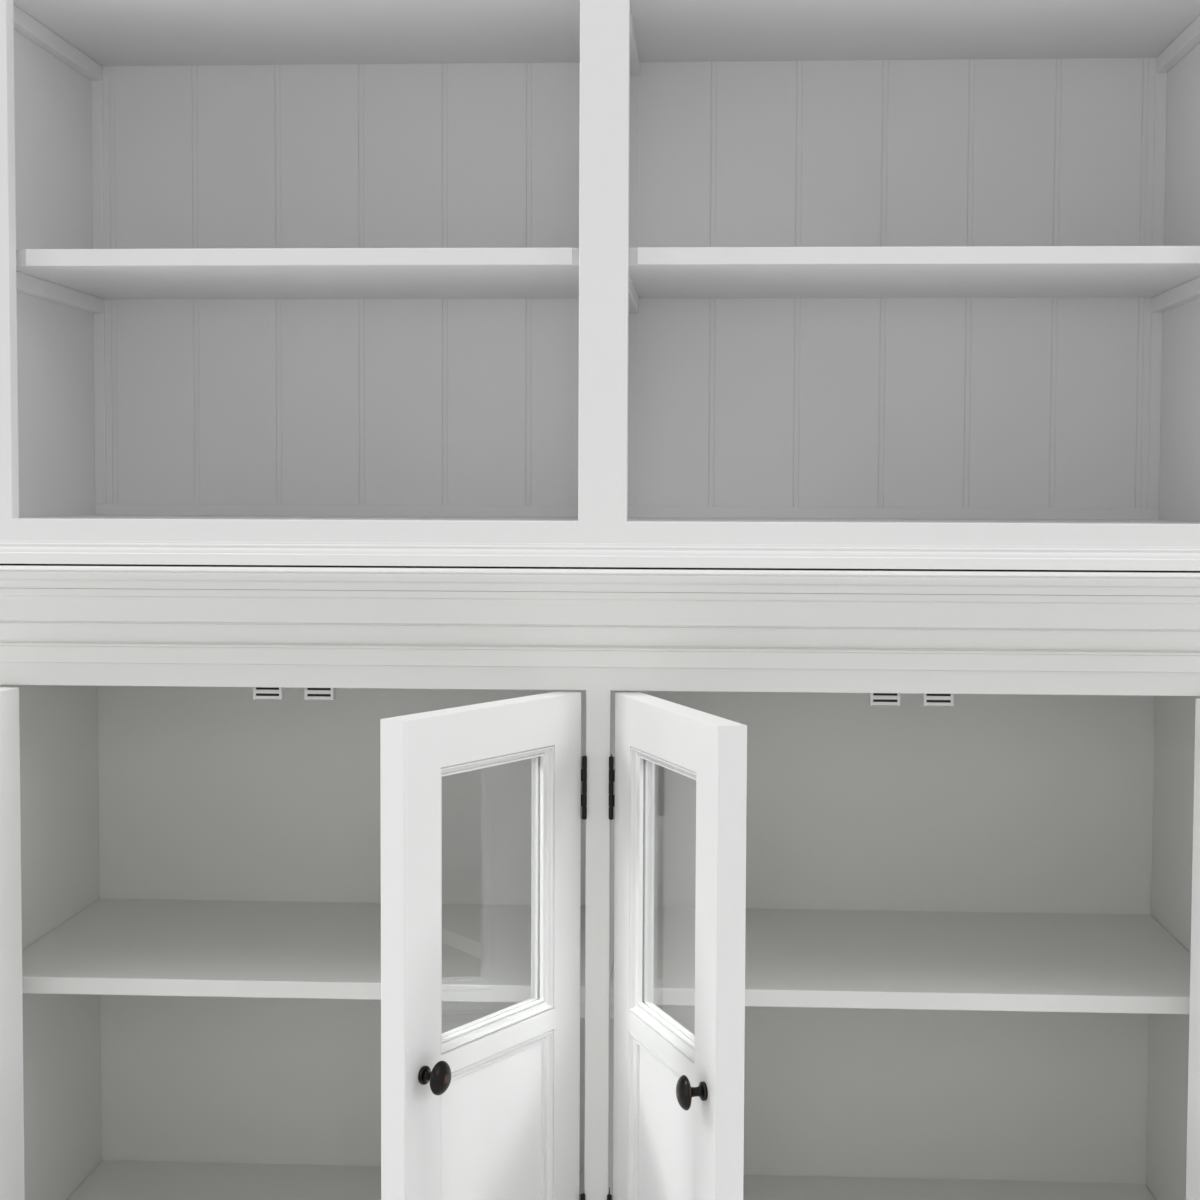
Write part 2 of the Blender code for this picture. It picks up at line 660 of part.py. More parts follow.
def door_frame_mesh(name, hand):
    """Stiles and rails in one, with moulded edges, a rebate behind for the glass and a groove for the panel."""
    edge_x = span(hand, HINGE_GAP / 2, HINGE_GAP / 2 + DOOR_WIDTH)
    back = PIN_STANDOFF + DOOR_THICKNESS
    slab = ((edge_x[0], PIN_STANDOFF, DOOR_BOTTOM), (edge_x[1], back, DOOR_TOP))
    pockets = [
        ((low[0], low[1] - PIN_Y, low[2]), (high[0], high[1] - PIN_Y, high[2]))
        for low, high in hinge_mortises(0, hand)
    ]
    frame = blocks_mesh(name, [slab], pockets)

    across, glass_heights, panel_heights = door_sight(hand)
    in_front = (STICKING_WIDTH, -OVERRUN)
    behind = DOOR_THICKNESS + OVERRUN
    glass_walls = [
        in_front,
        *outline(STICKING_SHARES, STICKING_WIDTH, GLASS_SET_IN),
        (REBATE_WIDTH, GLASS_SET_IN),
        (REBATE_WIDTH, behind),
    ]
    groove_front = PANEL_SET_IN - GAP
    groove_back = PANEL_SET_IN + PANEL_THICKNESS + GAP
    panel_walls = [
        in_front,
        *outline(STICKING_SHARES, STICKING_WIDTH, groove_front),
        (GROOVE_WIDTH, groove_front),
        (GROOVE_WIDTH, groove_back),
        (0.0, groove_back),
        (0.0, behind),
    ]
    cutters = [
        opening_cutter(f"{name}_glass_cut", hand, across, glass_heights, glass_walls),
        opening_cutter(f"{name}_panel_cut", hand, across, panel_heights, panel_walls),
    ]
    return combined_mesh(frame, cutters, "DIFFERENCE")


def knob_mesh(name, hand, rise):
    """A turned knob on the free stile, standing out of the closed door's face along -Y."""
    x = hand * (HINGE_GAP / 2 + DOOR_WIDTH - FREE_STILE / 2)
    z = DOOR_TOP - KNOB_DROP + rise
    turns = [2 * math.pi * side / KNOB_SIDES for side in range(KNOB_SIDES)]
    rings = []
    for radius_share, length_share in KNOB_SHARES:
        radius = radius_share * KNOB_RADIUS
        y = PIN_STANDOFF - GAP - length_share * KNOB_LENGTH
        rings.append([(x + radius * math.cos(turn), y, z + radius * math.sin(turn)) for turn in turns])
    return shaded_round(lofted_mesh(name, rings))


def build_door(name, hand, pin_x, angle):
    """A door about its pin, with what it carries, and the hinge leaves that stay on the face frame."""
    pivot = bpy.data.objects.new(f"{name}_door_pivot", None)
    pivot.location = (pin_x, PIN_Y, 0)
    pivot.rotation_euler.z = -hand * math.radians(angle)
    bpy.context.collection.objects.link(pivot)

    place(f"{name}_door_frame", door_frame_mesh(f"{name}_door_frame", hand), PAINT, pivot)
    across, glass_heights, panel_heights = door_sight(hand)
    for piece, heights, inset, thickness, margin, finish in (
        ("glass", glass_heights, GLASS_SET_IN + GAP, GLASS_THICKNESS, REBATE_WIDTH - GAP, GLASS),
        ("panel", panel_heights, PANEL_SET_IN, PANEL_THICKNESS, GROOVE_WIDTH - GAP, PAINT),
    ):
        low, high = span(hand, across[0] - margin, across[1] + margin)
        near = PIN_STANDOFF + inset
        pane = ((low, near, heights[0] - margin), (high, near + thickness, heights[1] + margin))
        place_blocks(f"{name}_door_{piece}", [pane], (), finish, pivot)
    knob = knob_mesh(f"{name}_door_knob", hand, KNOB_RISES[name])
    place(f"{name}_door_knob", knob, BRONZE, pivot)

    for level, bottom in HINGE_BOTTOMS.items():
        door_leaf = f"{name}_{level}_hinge_door_leaf"
        place(door_leaf, leaf_mesh(door_leaf, hand, bottom, 1), BLACK_STEEL, pivot)
        frame_leaf = f"{name}_{level}_hinge_frame_leaf"
        place(frame_leaf, leaf_mesh(frame_leaf, -hand, bottom, 0), BLACK_STEEL, None, (pin_x, PIN_Y, 0))


clear_scene()
build_base()
build_catches()
build_hutch()
for door in DOORS:
    build_door(*door)
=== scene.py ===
"""The looks of the hutch cabinet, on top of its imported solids.

+Z is up, +X the viewer's right and +Y towards the wall. Lengths are in metres. A shell is an array of points
with the faces between them, and a piece is one object made of one or more shells.
"""

import json
import math

import bmesh
import bpy
import numpy as np
from mathutils import Matrix, Vector


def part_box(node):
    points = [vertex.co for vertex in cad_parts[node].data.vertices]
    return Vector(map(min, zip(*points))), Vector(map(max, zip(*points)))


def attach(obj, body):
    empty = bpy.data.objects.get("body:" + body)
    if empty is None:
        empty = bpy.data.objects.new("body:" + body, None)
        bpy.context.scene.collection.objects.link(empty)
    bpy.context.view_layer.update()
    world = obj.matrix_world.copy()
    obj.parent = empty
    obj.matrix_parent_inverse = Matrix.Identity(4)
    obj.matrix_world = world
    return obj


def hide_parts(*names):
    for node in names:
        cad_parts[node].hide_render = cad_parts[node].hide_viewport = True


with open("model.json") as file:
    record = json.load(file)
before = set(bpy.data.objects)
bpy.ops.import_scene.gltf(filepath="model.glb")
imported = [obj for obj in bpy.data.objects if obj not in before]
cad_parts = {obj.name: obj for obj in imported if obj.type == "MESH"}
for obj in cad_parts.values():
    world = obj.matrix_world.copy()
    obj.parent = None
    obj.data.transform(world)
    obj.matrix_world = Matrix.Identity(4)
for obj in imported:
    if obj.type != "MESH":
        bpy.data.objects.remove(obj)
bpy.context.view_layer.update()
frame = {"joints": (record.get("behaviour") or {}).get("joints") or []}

# Boards and edges
ARRIS = 0.0012
FINE_ARRIS = 0.0006
ARRIS_MARGIN = 0.0004
SIDE_THICKNESS = 0.020
DIVIDER_THICKNESS = 0.018
CLEAT_HEIGHT = 0.018
END_STILE = 0.050
BASE_CENTRE_STILE = 0.025
HUTCH_CENTRE_STILE = 0.050
HUTCH_OPENING_TOP = 1.729
# The base's cleats start this far behind the front edge of its shelf
CLEAT_SET_BACK = 0.010
ROUND_STEPS = 4
# The notches of the hutch's shelves: how deep, and how far they reach past the stiles' edges
NOTCH_DEPTH = 0.0035
NOTCH_REACH = 0.009
BACK_STRIP_WIDTH = 0.0132
BACK_STRIP_THICKNESS = 0.004
# The ledge lies this far under the hutch, and the hutch's frame ends this far above its own foot
LEDGE_DROP = 0.001
FRAME_LIFT = 0.0025
# The backs are this much thinner than their solids, so that the screws' heads stay inside the cabinet's depth
BACK_THINNING = 0.0003

# Doors, measured from the pin of a closed door
DOOR_WIDTH = 0.300
DOOR_THICKNESS = 0.027
HINGE_GAP = 0.002
PIN_STANDOFF = 0.003
HINGE_STILE = 0.050
FREE_STILE = 0.055
TOP_RAIL = 0.048
MIDDLE_RAIL = 0.0205
BOTTOM_RAIL = 0.060
STICKING_WIDTH = 0.010
GLASS_SIGHT_HEIGHT = 0.242
GLASS_SET_IN = 0.012
GLASS_GAP = 0.001
PANEL_SET_IN = 0.0085
REBATE_WIDTH = 0.006

# Knobs
KNOB_RADIUS = 0.01525
KNOB_LENGTH = 0.0254
KNOB_SIDES = 64

# Hinges
HINGE_LENGTH = 0.0635
KNUCKLE_COUNT = 5
KNUCKLE_RADIUS = 0.0025
LEAF_STANDOFF = 0.0004
LEAF_THICKNESS = 0.0012
LEAF_DEPTH = 0.020
HINGE_SIDES = 24
SCREW_RADIUS = 0.0028

# Mouldings, as shares of their projection and height from the bottom up
CORNICE = (
    ("line", 0.13, -0.018),
    ("line", 0.18, -0.010),
    ("line", 0.18, 0.202),
    ("line", 0.15, 0.208),
    ("out", 0.23, 0.228),
    ("up", 0.16, 0.250),
    ("line", 0.13, 0.262),
    ("line", 0.20, 0.272),
    ("line", 0.36, 0.298),
    ("line", 0.48, 0.342),
    ("line", 0.57, 0.405),
    ("line", 0.63, 0.475),
    ("line", 0.655, 0.508),
    ("line", 0.685, 0.512),
    ("line", 0.685, 0.530),
    ("line", 0.62, 0.536),
    ("line", 0.62, 0.552),
    ("line", 0.735, 0.562),
    ("line", 0.76, 0.660),
    ("line", 0.79, 0.790),
    ("up", 0.895, 0.900),
    ("out", 0.985, 0.988),
    ("line", 0.985, 1.000),
)
CROWN = (
    ("line", 0.14, 0.00),
    ("line", 0.14, 0.15),
    ("line", 0.16, 0.16),
    ("out", 0.22, 0.19),
    ("up", 0.18, 0.22),
    ("line", 0.16, 0.23),
    ("up", 0.80, 0.73),
    ("line", 0.84, 0.74),
    ("line", 0.84, 0.79),
    ("line", 0.86, 0.80),
    ("out", 1.00, 1.00),
)
SKIRT = (
    ("line", 1.00, 0.000),
    ("line", 1.00, 0.478),
    ("line", 0.80, 0.490),
    ("line", 0.80, 0.545),
    ("up", 0.52, 0.730),
    ("line", 0.44, 0.740),
    ("line", 0.44, 0.805),
    ("out", 0.52, 0.850),
    ("up", 0.42, 0.900),
    ("line", 0.36, 0.905),
    ("line", 0.36, 0.930),
    ("line", 0.36, 1.000),
)
BOARD_EDGE = (
    ("line", 0.80, 0.00),
    ("up", 0.90, 0.45),
    ("out", 0.995, 0.86),
    ("line", 0.965, 0.875),
    ("line", 0.965, 0.915),
    ("line", 1.00, 0.93),
    ("line", 1.00, 1.00),
)
# The door's sticking, as shares of its width outside the sight line and of its depth behind the face
STICKING = (
    ("line", 1.00, 0.00),
    ("line", 1.00, 0.32),
    ("line", 0.95, 0.34),
    ("line", 0.925, 0.26),
    ("up", 0.83, 0.06),
    ("out", 0.73, 0.17),
    ("line", 0.71, 0.28),
    ("line", 0.67, 0.30),
    ("up", 0.31, 0.62),
    ("line", 0.29, 0.76),
    ("line", 0.24, 0.76),
    ("up", 0.12, 0.60),
    ("out", 0.00, 0.72),
    ("line", 0.00, 1.00),
)
KNOB = (
    (0.000, 0.000),
    (0.530, 0.000),
    (0.550, 0.020),
    (0.550, 0.088),
    (0.538, 0.108),
    (0.500, 0.128),
    (0.430, 0.148),
    (0.350, 0.165),
    (0.300, 0.195),
    (0.275, 0.240),
    (0.264, 0.310),
    (0.268, 0.390),
    (0.285, 0.460),
    (0.320, 0.520),
    (0.390, 0.570),
    (0.520, 0.605),
    (0.700, 0.633),
    (0.860, 0.655),
    (0.950, 0.675),
    (0.990, 0.698),
    (1.000, 0.722),
    (0.990, 0.748),
    (0.955, 0.782),
    (0.890, 0.825),
    (0.790, 0.872),
    (0.660, 0.915),
    (0.500, 0.953),
    (0.330, 0.980),
    (0.160, 0.995),
    (0.000, 1.000),
)
CURVE_STEPS = 8


def grid_shell(points, wrap_rows=False, caps=False):
    """Points on a grid of rows and columns, with a four-sided face between neighbours.

    The columns close on themselves. The rows do too where wrap_rows is set, and otherwise a cap may close
    both ends.
    """
    rows, columns = points.shape[:2]
    index = np.arange(rows * columns).reshape(rows, columns)
    lower = index if wrap_rows else index[:-1]
    upper = np.roll(index, -1, axis=0) if wrap_rows else index[1:]
    faces = np.stack([lower, np.roll(lower, -1, axis=1), np.roll(upper, -1, axis=1), upper], axis=-1)
    faces = faces.reshape(-1, 4).tolist()
    if caps:
        faces += [index[0].tolist(), index[-1].tolist()]
    return points.reshape(-1, 3), faces


def placed(shell, matrix):
    """The shell after a 4 by 4 matrix."""
    points, faces = shell
    matrix = np.array(matrix)
    return points @ matrix[:3, :3].T + matrix[:3, 3], faces


def board_shell(low, high, radius=ARRIS):
    """A board with rounded edges and corners.

    Each point is the corner of the inner box that lies in its direction's octant, plus the radius times the
    direction.
    """
    quarter = np.linspace(0, math.pi / 2, ROUND_STEPS)
    around = np.concatenate([quarter + turn * math.pi / 2 for turn in range(4)])
    around_signs = np.repeat([(1, 1), (-1, 1), (-1, -1), (1, -1)], ROUND_STEPS, axis=0)
    above = np.concatenate([quarter - math.pi / 2, quarter])
    above_signs = np.repeat([-1, 1], ROUND_STEPS)
    direction = np.stack(
        [
            np.outer(np.cos(above), np.cos(around)),
            np.outer(np.cos(above), np.sin(around)),
            np.outer(np.sin(above), np.ones(len(around))),
        ],
        axis=-1,
    )
    signs = np.empty_like(direction)
    signs[..., :2] = around_signs
    signs[..., 2] = above_signs[:, None]
    low, high = np.array(low), np.array(high)
    radius = min(radius, (high - low).min() / 2 * 0.98)
    inner = (high - low) / 2 - radius
    return grid_shell((low + high) / 2 + signs * inner + radius * direction, caps=True)


def slab_shell(plan, bottom, top, radius=ARRIS):
    """A flat slab of any plan, with eased edges.

    At each height its outline is the plan, moved in along the mitred normals by the radius less the radius
    times the cosine of the angle there.
    """
    plan = np.array(plan)
    ahead = np.roll(plan, -1, axis=0) - plan
    ahead = ahead / np.linalg.norm(ahead, axis=1, keepdims=True)
    leaving = np.stack([ahead[:, 1], -ahead[:, 0]], axis=-1)
    arriving = np.roll(leaving, 1, axis=0)
    mitre = (leaving + arriving) / (1 + (leaving * arriving).sum(1))[:, None]
    turn = np.linspace(0, math.pi / 2, ROUND_STEPS)
    inset = radius * (1 - np.concatenate([np.cos(turn[::-1]), [1, 1], np.cos(turn)]))
    margin = radius + ARRIS_MARGIN
    heights = np.concatenate(
        [
            bottom + radius * (1 - np.sin(turn[::-1])),
            [bottom + margin, top - margin],
            top - radius * (1 - np.sin(turn)),
        ]
    )
    points = np.empty((len(heights), len(plan), 3))
    points[..., :2] = plan - mitre * inset[:, None, None]
    points[..., 2] = heights[:, None]
    return grid_shell(points, caps=True)


def outline(table, width, height):
    """The points of a moulding's outline. A curve is a quarter of an ellipse from the last point.

    One named "out" leaves that point along the width, and one named "up" along the height.
    """
    points = []
    turn = np.linspace(0, math.pi / 2, CURVE_STEPS + 1)[1:]
    first, second = np.sin(turn), 1 - np.cos(turn)
    for kind, across, along in table:
        end = np.array([across * width, along * height])
        if kind == "line":
            points.append(end[None])
            continue
        start = points[-1][-1]
        shares = np.stack([first, second] if kind == "out" else [second, first], axis=-1)
        points.append(start + (end - start) * shares)
    return np.concatenate(points)


def softened(points, radius, hard=math.radians(35), margin=0.0003):
    """A closed outline with its hard corners rounded.

    A corner becomes a parabola between points at the radius from it, kept within 0.42 of each side, with one
    more point beyond each end, within 0.48, so that the flats beside it stay flat.
    """
    before = np.roll(points, 1, axis=0) - points
    after = np.roll(points, -1, axis=0) - points
    near, far = np.linalg.norm(before, axis=1), np.linalg.norm(after, axis=1)
    turning = math.pi - np.arccos(np.clip((before * after).sum(1) / (near * far), -1, 1))
    start_share = np.minimum(radius / near, 0.42)
    end_share = np.minimum(radius / far, 0.42)
    along = np.linspace(0, 1, ROUND_STEPS)[None, :, None]
    start = (points + before * start_share[:, None])[:, None]
    end = (points + after * end_share[:, None])[:, None]
    curve = (1 - along) ** 2 * start + 2 * along * (1 - along) * points[:, None] + along**2 * end
    lead = (points + before * np.minimum(start_share + margin / near, 0.48)[:, None])[:, None]
    tail = (points + after * np.minimum(end_share + margin / far, 0.48)[:, None])[:, None]
    curve = np.concatenate([lead, curve, tail], axis=1)
    kept = np.repeat((turning > hard)[:, None], curve.shape[1], axis=1)
    curve[~kept[:, 0], 0] = points[~kept[:, 0]]
    kept[:, 0] = True
    return curve[kept]


def run_shell(closed, half_width, front, back, bottom):
    """A moulding carried round the front and two sides.

    The closed outline, in how far out and how high, is carried along a path of four stations and mitred: each
    station moves out along both of the runs that meet there.
    """
    corners = np.array([(-half_width, back), (-half_width, front), (half_width, front), (half_width, back)])
    outward = np.array([(-1, 0), (-1, -1), (1, -1), (1, 0)])
    points = np.empty((4, len(closed), 3))
    points[..., :2] = corners[:, None] + outward[:, None] * closed[None, :, :1]
    points[..., 2] = bottom + closed[:, 1]
    return grid_shell(points, caps=True)


def ring_shell(inner, outer, profile, seam=None):
    """A frame round a rectangular opening.

    inner and outer are (low x, high x, low z, high z). A profile row is a share of the way from the inner to
    the outer rectangle, an offset away from the opening, and a depth y. The offset isn't applied across the
    side named as the seam, so that two frames meet there without a line.
    """
    def corners(box):
        return np.array([(box[0], box[2]), (box[1], box[2]), (box[1], box[3]), (box[0], box[3])])

    mitre = np.array([(-1, -1), (1, -1), (1, 1), (-1, 1)], float)
    outer_mitre = mitre.copy()
    if seam in ("low_x", "high_x"):
        outer_mitre[[0, 3] if seam == "low_x" else [1, 2], 0] = 0
    if seam in ("low_z", "high_z"):
        outer_mitre[[0, 1] if seam == "low_z" else [2, 3], 1] = 0
    share, offset, depth = np.array(profile).T
    inner_points, outer_points = corners(inner), corners(outer)
    moves = np.where(share[None, :, None] < 0.5, mitre[:, None], outer_mitre[:, None])
    flat = inner_points[:, None] + (outer_points - inner_points)[:, None] * share[None, :, None]
    flat = flat + moves * offset[None, :, None]
    points = np.empty((4, len(share), 3))
    points[..., 0], points[..., 2] = flat[..., 0], flat[..., 1]
    points[..., 1] = depth
    points, faces = grid_shell(points, wrap_rows=True)
    if seam:
        axis, level = {
            "low_x": (0, outer[0]),
            "high_x": (0, outer[1]),
            "low_z": (2, outer[2]),
            "high_z": (2, outer[3]),
        }[seam]
        on_seam = abs(points[:, axis] - level) < 1e-7
        faces = [face for face in faces if not on_seam[face].all()]
    return points, faces


def eased_corner(radius, margin=ARRIS_MARGIN):
    """A rounded corner as (across, along) pairs, from (0, radius) to (radius, 0).

    One more point lies beyond each end, so that the flats beside the corner stay flat when shaded smoothly.
    """
    turn = np.linspace(0, math.pi / 2, ROUND_STEPS)
    arc = np.stack([1 - np.cos(turn), 1 - np.sin(turn)], axis=-1) * radius
    return np.concatenate([[(0, radius + margin)], arc, [(radius + margin, 0)]])


def turned_shell(table, radius, length, sides, matrix):
    """A turned piece: at each length along its axis, a circle with that station's share of the radius."""
    shares = np.array(table)
    around = np.linspace(0, 2 * math.pi, sides, endpoint=False)
    points = np.empty((len(shares), sides, 3))
    points[..., 0] = radius * np.outer(shares[:, 0], np.cos(around))
    points[..., 1] = radius * np.outer(shares[:, 0], np.sin(around))
    points[..., 2] = (length * shares[:, 1])[:, None]
    return placed(grid_shell(points, caps=True), matrix)


def screw_shell(centre, normal, radius=SCREW_RADIUS, turn=0.4):
    """A screw's head with a cross recess.

    Its height over the radius is a low dome, less a recess that is deepest on the two arms of the cross and
    fades towards their ends.
    """
    sides, rows = 32, 9
    reach = np.linspace(1, 0, rows)[:, None] * np.ones(sides)
    around = np.linspace(0, 2 * math.pi, sides, endpoint=False) + np.zeros((rows, 1))
    across, along = reach * np.cos(around), reach * np.sin(around)
    arm = np.exp(-((np.minimum(abs(across), abs(along)) / 0.16) ** 4))
    height = 0.16 * (1 - reach**2) - 0.30 * arm * (1 - np.clip(reach / 0.62, 0, 1) ** 3)
    points = np.stack([radius * across, radius * along, radius * (height + 0.06)], axis=-1)
    under = points[:1] * (1, 1, 0) - (0, 0, radius * 0.4)
    axis = Vector(normal).to_track_quat("Z", "Y").to_matrix().to_4x4()
    matrix = Matrix.Translation(centre) @ axis @ Matrix.Rotation(turn, 4, "Z")
    return placed(grid_shell(np.concatenate([under, points]), caps=True), matrix)


def add_piece(name, shells, material, body="carcass", nodes=(), smooth=None):
    """Joins the shells into one object that rides on a body and stands for the named solids."""
    offsets = np.cumsum([0] + [len(points) for points, _ in shells])
    points = np.concatenate([points for points, _ in shells])
    faces = []
    for (_, found), offset in zip(shells, offsets):
        faces += [[corner + offset for corner in face] for face in found]
    mesh = bpy.data.meshes.new(name)
    mesh.from_pydata(points.tolist(), [], faces)
    bm = bmesh.new()
    bm.from_mesh(mesh)
    bmesh.ops.remove_doubles(bm, verts=bm.verts, dist=1e-7)
    bmesh.ops.recalc_face_normals(bm, faces=bm.faces)
    bm.to_mesh(mesh)
    bm.free()
    if smooth is not None:
        mesh.shade_smooth()
        mesh.set_sharp_from_angle(angle=math.radians(smooth))
    mesh.materials.append(material)
    item = bpy.data.objects.new(name, mesh)
    bpy.context.collection.objects.link(item)
    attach(item, body)
    if nodes:
        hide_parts(*nodes)
    return item


def new_material(name):
    """A material with its node tree, its Principled shader and its Object coordinates."""
    material = bpy.data.materials.new(name)
    material.use_nodes = True
    tree = material.node_tree
    shader = tree.nodes["Principled BSDF"]
    coordinates = tree.nodes.new("ShaderNodeTexCoord")
    return material, tree, shader, coordinates.outputs["Object"]


def add_node(tree, kind, links=(), **values):
    """A node with its properties set, and with each (input, source) pair linked or filled in."""
    node = tree.nodes.new(kind)
    for key, value in values.items():
        setattr(node, key, value)
    for key, source in links:
        if isinstance(source, bpy.types.NodeSocket):
            tree.links.new(source, node.inputs[key])
        else:
            node.inputs[key].default_value = source
    return node


def noise(tree, vector, scale, detail=2.0, roughness=0.5):
    """A noise texture's factor."""
    node = add_node(
        tree,
        "ShaderNodeTexNoise",
        [("Vector", vector), ("Scale", scale), ("Detail", detail), ("Roughness", roughness)],
    )
    return node.outputs["Fac"]


def between(tree, factor, low, high):
    """The factor's 0 to 1 carried to low to high."""
    node = add_node(tree, "ShaderNodeMapRange", [("Value", factor), ("To Min", low), ("To Max", high)])
    return node.outputs["Result"]


def blend_colours(tree, factor, first, second):
    """A mix of two colours, or of what two sockets give."""
    node = add_node(tree, "ShaderNodeMix", data_type="RGBA")
    for socket, source in ((node.inputs[0], factor), (node.inputs[6], first), (node.inputs[7], second)):
        if isinstance(source, bpy.types.NodeSocket):
            tree.links.new(source, socket)
        else:
            socket.default_value = source
    return node.outputs[2]


def bumped(tree, shader, height, distance, strength=1.0):
    """Links a height to the shader's normal."""
    links = [("Height", height), ("Distance", distance), ("Strength", strength)]
    node = add_node(tree, "ShaderNodeBump", links)
    tree.links.new(node.outputs["Normal"], shader.inputs["Normal"])


def grey(value, warmth=0.0):
    """A near-neutral colour. Warmth takes a little blue away."""
    return (value, value, value * (1 - warmth), 1)


def paint_material(name, value, warmth, roughness=0.42):
    """Sprayed satin paint on wood: slight cloudiness, orange peel about 2 mm across and a few fine nibs."""
    material, tree, shader, place = new_material(name)
    clouds = noise(tree, place, 3.5, 3.0)
    tone = blend_colours(tree, clouds, grey(value * 0.985, warmth), grey(min(value * 1.015, 1), warmth))
    tree.links.new(tone, shader.inputs["Base Color"])
    peel = noise(tree, place, 420.0, 2.0)
    streaks = noise(tree, place, 60.0, 4.0, 0.6)
    tree.links.new(between(tree, streaks, roughness - 0.05, roughness + 0.06), shader.inputs["Roughness"])
    height = add_node(tree, "ShaderNodeMath", [(0, peel), (1, streaks)], operation="ADD").outputs[0]
    bumped(tree, shader, height, 0.00006, 0.5)
    return material


def seen_directly(tree):
    """One for a ray from the camera, a mirror-like ray or a ray through glass, and otherwise zero."""
    paths = tree.nodes.new("ShaderNodeLightPath").outputs
    mirrored = [(0, paths["Is Glossy Ray"]), (1, paths["Is Transmission Ray"])]
    indirect = add_node(tree, "ShaderNodeMath", mirrored, operation="MAXIMUM").outputs[0]
    both = [(0, paths["Is Camera Ray"]), (1, indirect)]
    return add_node(tree, "ShaderNodeMath", both, operation="MAXIMUM").outputs[0]


def glass_material():
    """Clear flat glass with a trace of waviness, through which the lamps' light passes."""
    material, tree, shader, place = new_material("pane_glass")
    shader.inputs["Base Color"].default_value = (0.97, 0.98, 0.975, 1)
    shader.inputs["Transmission Weight"].default_value = 1.0
    shader.inputs["Roughness"].default_value = 0.01
    shader.inputs["IOR"].default_value = 1.5
    bumped(tree, shader, noise(tree, place, 9.0, 1.0), 0.0004, 0.12)
    paths = tree.nodes.new("ShaderNodeLightPath")
    clear = tree.nodes.new("ShaderNodeBsdfTransparent")
    clear.inputs["Color"].default_value = (0.93, 0.94, 0.935, 1)
    mixed = add_node(
        tree,
        "ShaderNodeMixShader",
        [(0, paths.outputs["Is Shadow Ray"]), (1, shader.outputs["BSDF"]), (2, clear.outputs["BSDF"])],
    )
    tree.links.new(mixed.outputs["Shader"], tree.nodes["Material Output"].inputs["Surface"])
    return material


def bronze_material():
    """Oil-rubbed bronze, almost black, copper brown at the rim, the plate's edge and the face's middle."""
    material, tree, shader, place = new_material("oil_rubbed_bronze")
    surface = add_node(tree, "ShaderNodeUVMap", uv_map="turning").outputs["UV"]
    along = add_node(tree, "ShaderNodeSeparateXYZ", [("Vector", surface)]).outputs["Y"]
    patches = noise(tree, place, 260.0, 4.0, 0.6)
    ramp = add_node(tree, "ShaderNodeValToRGB", [("Fac", along)]).color_ramp
    stops = (
        (0.000, 0.0), (0.060, 0.0), (0.095, 0.8), (0.130, 0.0), (0.690, 0.0), (0.722, 0.8), (0.760, 0.0),
        (0.965, 0.0), (0.985, 0.5), (1.000, 1.0),
    )
    for position, value in stops[1:-1]:
        ramp.elements.new(position).color = (value, value, value, 1)
    ramp.elements[0].color, ramp.elements[-1].color = (0, 0, 0, 1), (1, 1, 1, 1)
    rubbed = tree.nodes["Color Ramp"].outputs["Color"]
    worn = add_node(tree, "ShaderNodeMath", [(0, rubbed), (1, patches)], operation="MULTIPLY").outputs[0]
    worn = add_node(
        tree, "ShaderNodeMapRange", [("Value", worn), ("From Min", 0.22), ("From Max", 0.75)]
    ).outputs["Result"]
    dark = blend_colours(tree, patches, (0.006, 0.005, 0.005, 1), (0.020, 0.017, 0.015, 1))
    tree.links.new(blend_colours(tree, worn, dark, (0.22, 0.12, 0.08, 1)), shader.inputs["Base Color"])
    shader.inputs["Metallic"].default_value = 0.6
    shader.inputs["Specular IOR Level"].default_value = 0.3
    tree.links.new(between(tree, patches, 0.22, 0.38), shader.inputs["Roughness"])
    bumped(tree, shader, noise(tree, place, 900.0, 2.0), 0.00003, 0.5)
    return material


def steel_material(name, colour, metallic, low_roughness, high_roughness):
    """A metal with faint mottling."""
    material, tree, shader, place = new_material(name)
    patches = noise(tree, place, 320.0, 3.0)
    light = tuple(min(channel * 1.5 + 0.004, 1) for channel in colour)
    tree.links.new(blend_colours(tree, patches, (*colour, 1), (*light, 1)), shader.inputs["Base Color"])
    shader.inputs["Metallic"].default_value = metallic
    tree.links.new(between(tree, patches, low_roughness, high_roughness), shader.inputs["Roughness"])
    shader.inputs["Specular IOR Level"].default_value = 0.25
    bumped(tree, shader, noise(tree, place, 1400.0, 2.0), 0.00002, 0.4)
    return material


def plastic_material():
    """White moulded plastic with a fine spark-eroded texture."""
    material, tree, shader, place = new_material("catch_plastic")
    patches = noise(tree, place, 30.0, 2.0)
    tone = blend_colours(tree, patches, grey(0.74, 0.01), grey(0.78, 0.01))
    tree.links.new(tone, shader.inputs["Base Color"])
    tree.links.new(between(tree, patches, 0.36, 0.44), shader.inputs["Roughness"])
    bumped(tree, shader, noise(tree, place, 2600.0, 1.0), 0.00002, 0.4)
    return material


HUTCH_PAINT = paint_material("hutch_paint", 0.86, 0.0)
# The base's paint is the hutch's paint with a little blue taken away as painted light: the tint stands in for
# warmer light falling on the base.
BASE_PAINT_WARM_LIT = paint_material("base_paint_warm_lit", 0.86, 0.025)
# The doors' paint is the carcass's paint made a little lighter as painted light: it stands in for the stronger
# light falling on the open doors.
DOOR_PAINT_LIT_LIGHTER = paint_material("door_paint_lit_lighter", 0.89, 0.005)
PANE = glass_material()
BRONZE = bronze_material()
HINGE_STEEL = steel_material("hinge_black", (0.004, 0.004, 0.004), 0.0, 0.42, 0.55)
PLATE_STEEL = steel_material("plate_steel", (0.42, 0.41, 0.39), 1.0, 0.28, 0.42)
SLOT_DARK = steel_material("slot_dark", (0.020, 0.020, 0.019), 0.5, 0.4, 0.55)
PLASTIC = plastic_material()

HALF_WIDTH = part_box("base_face_frame")[1].x


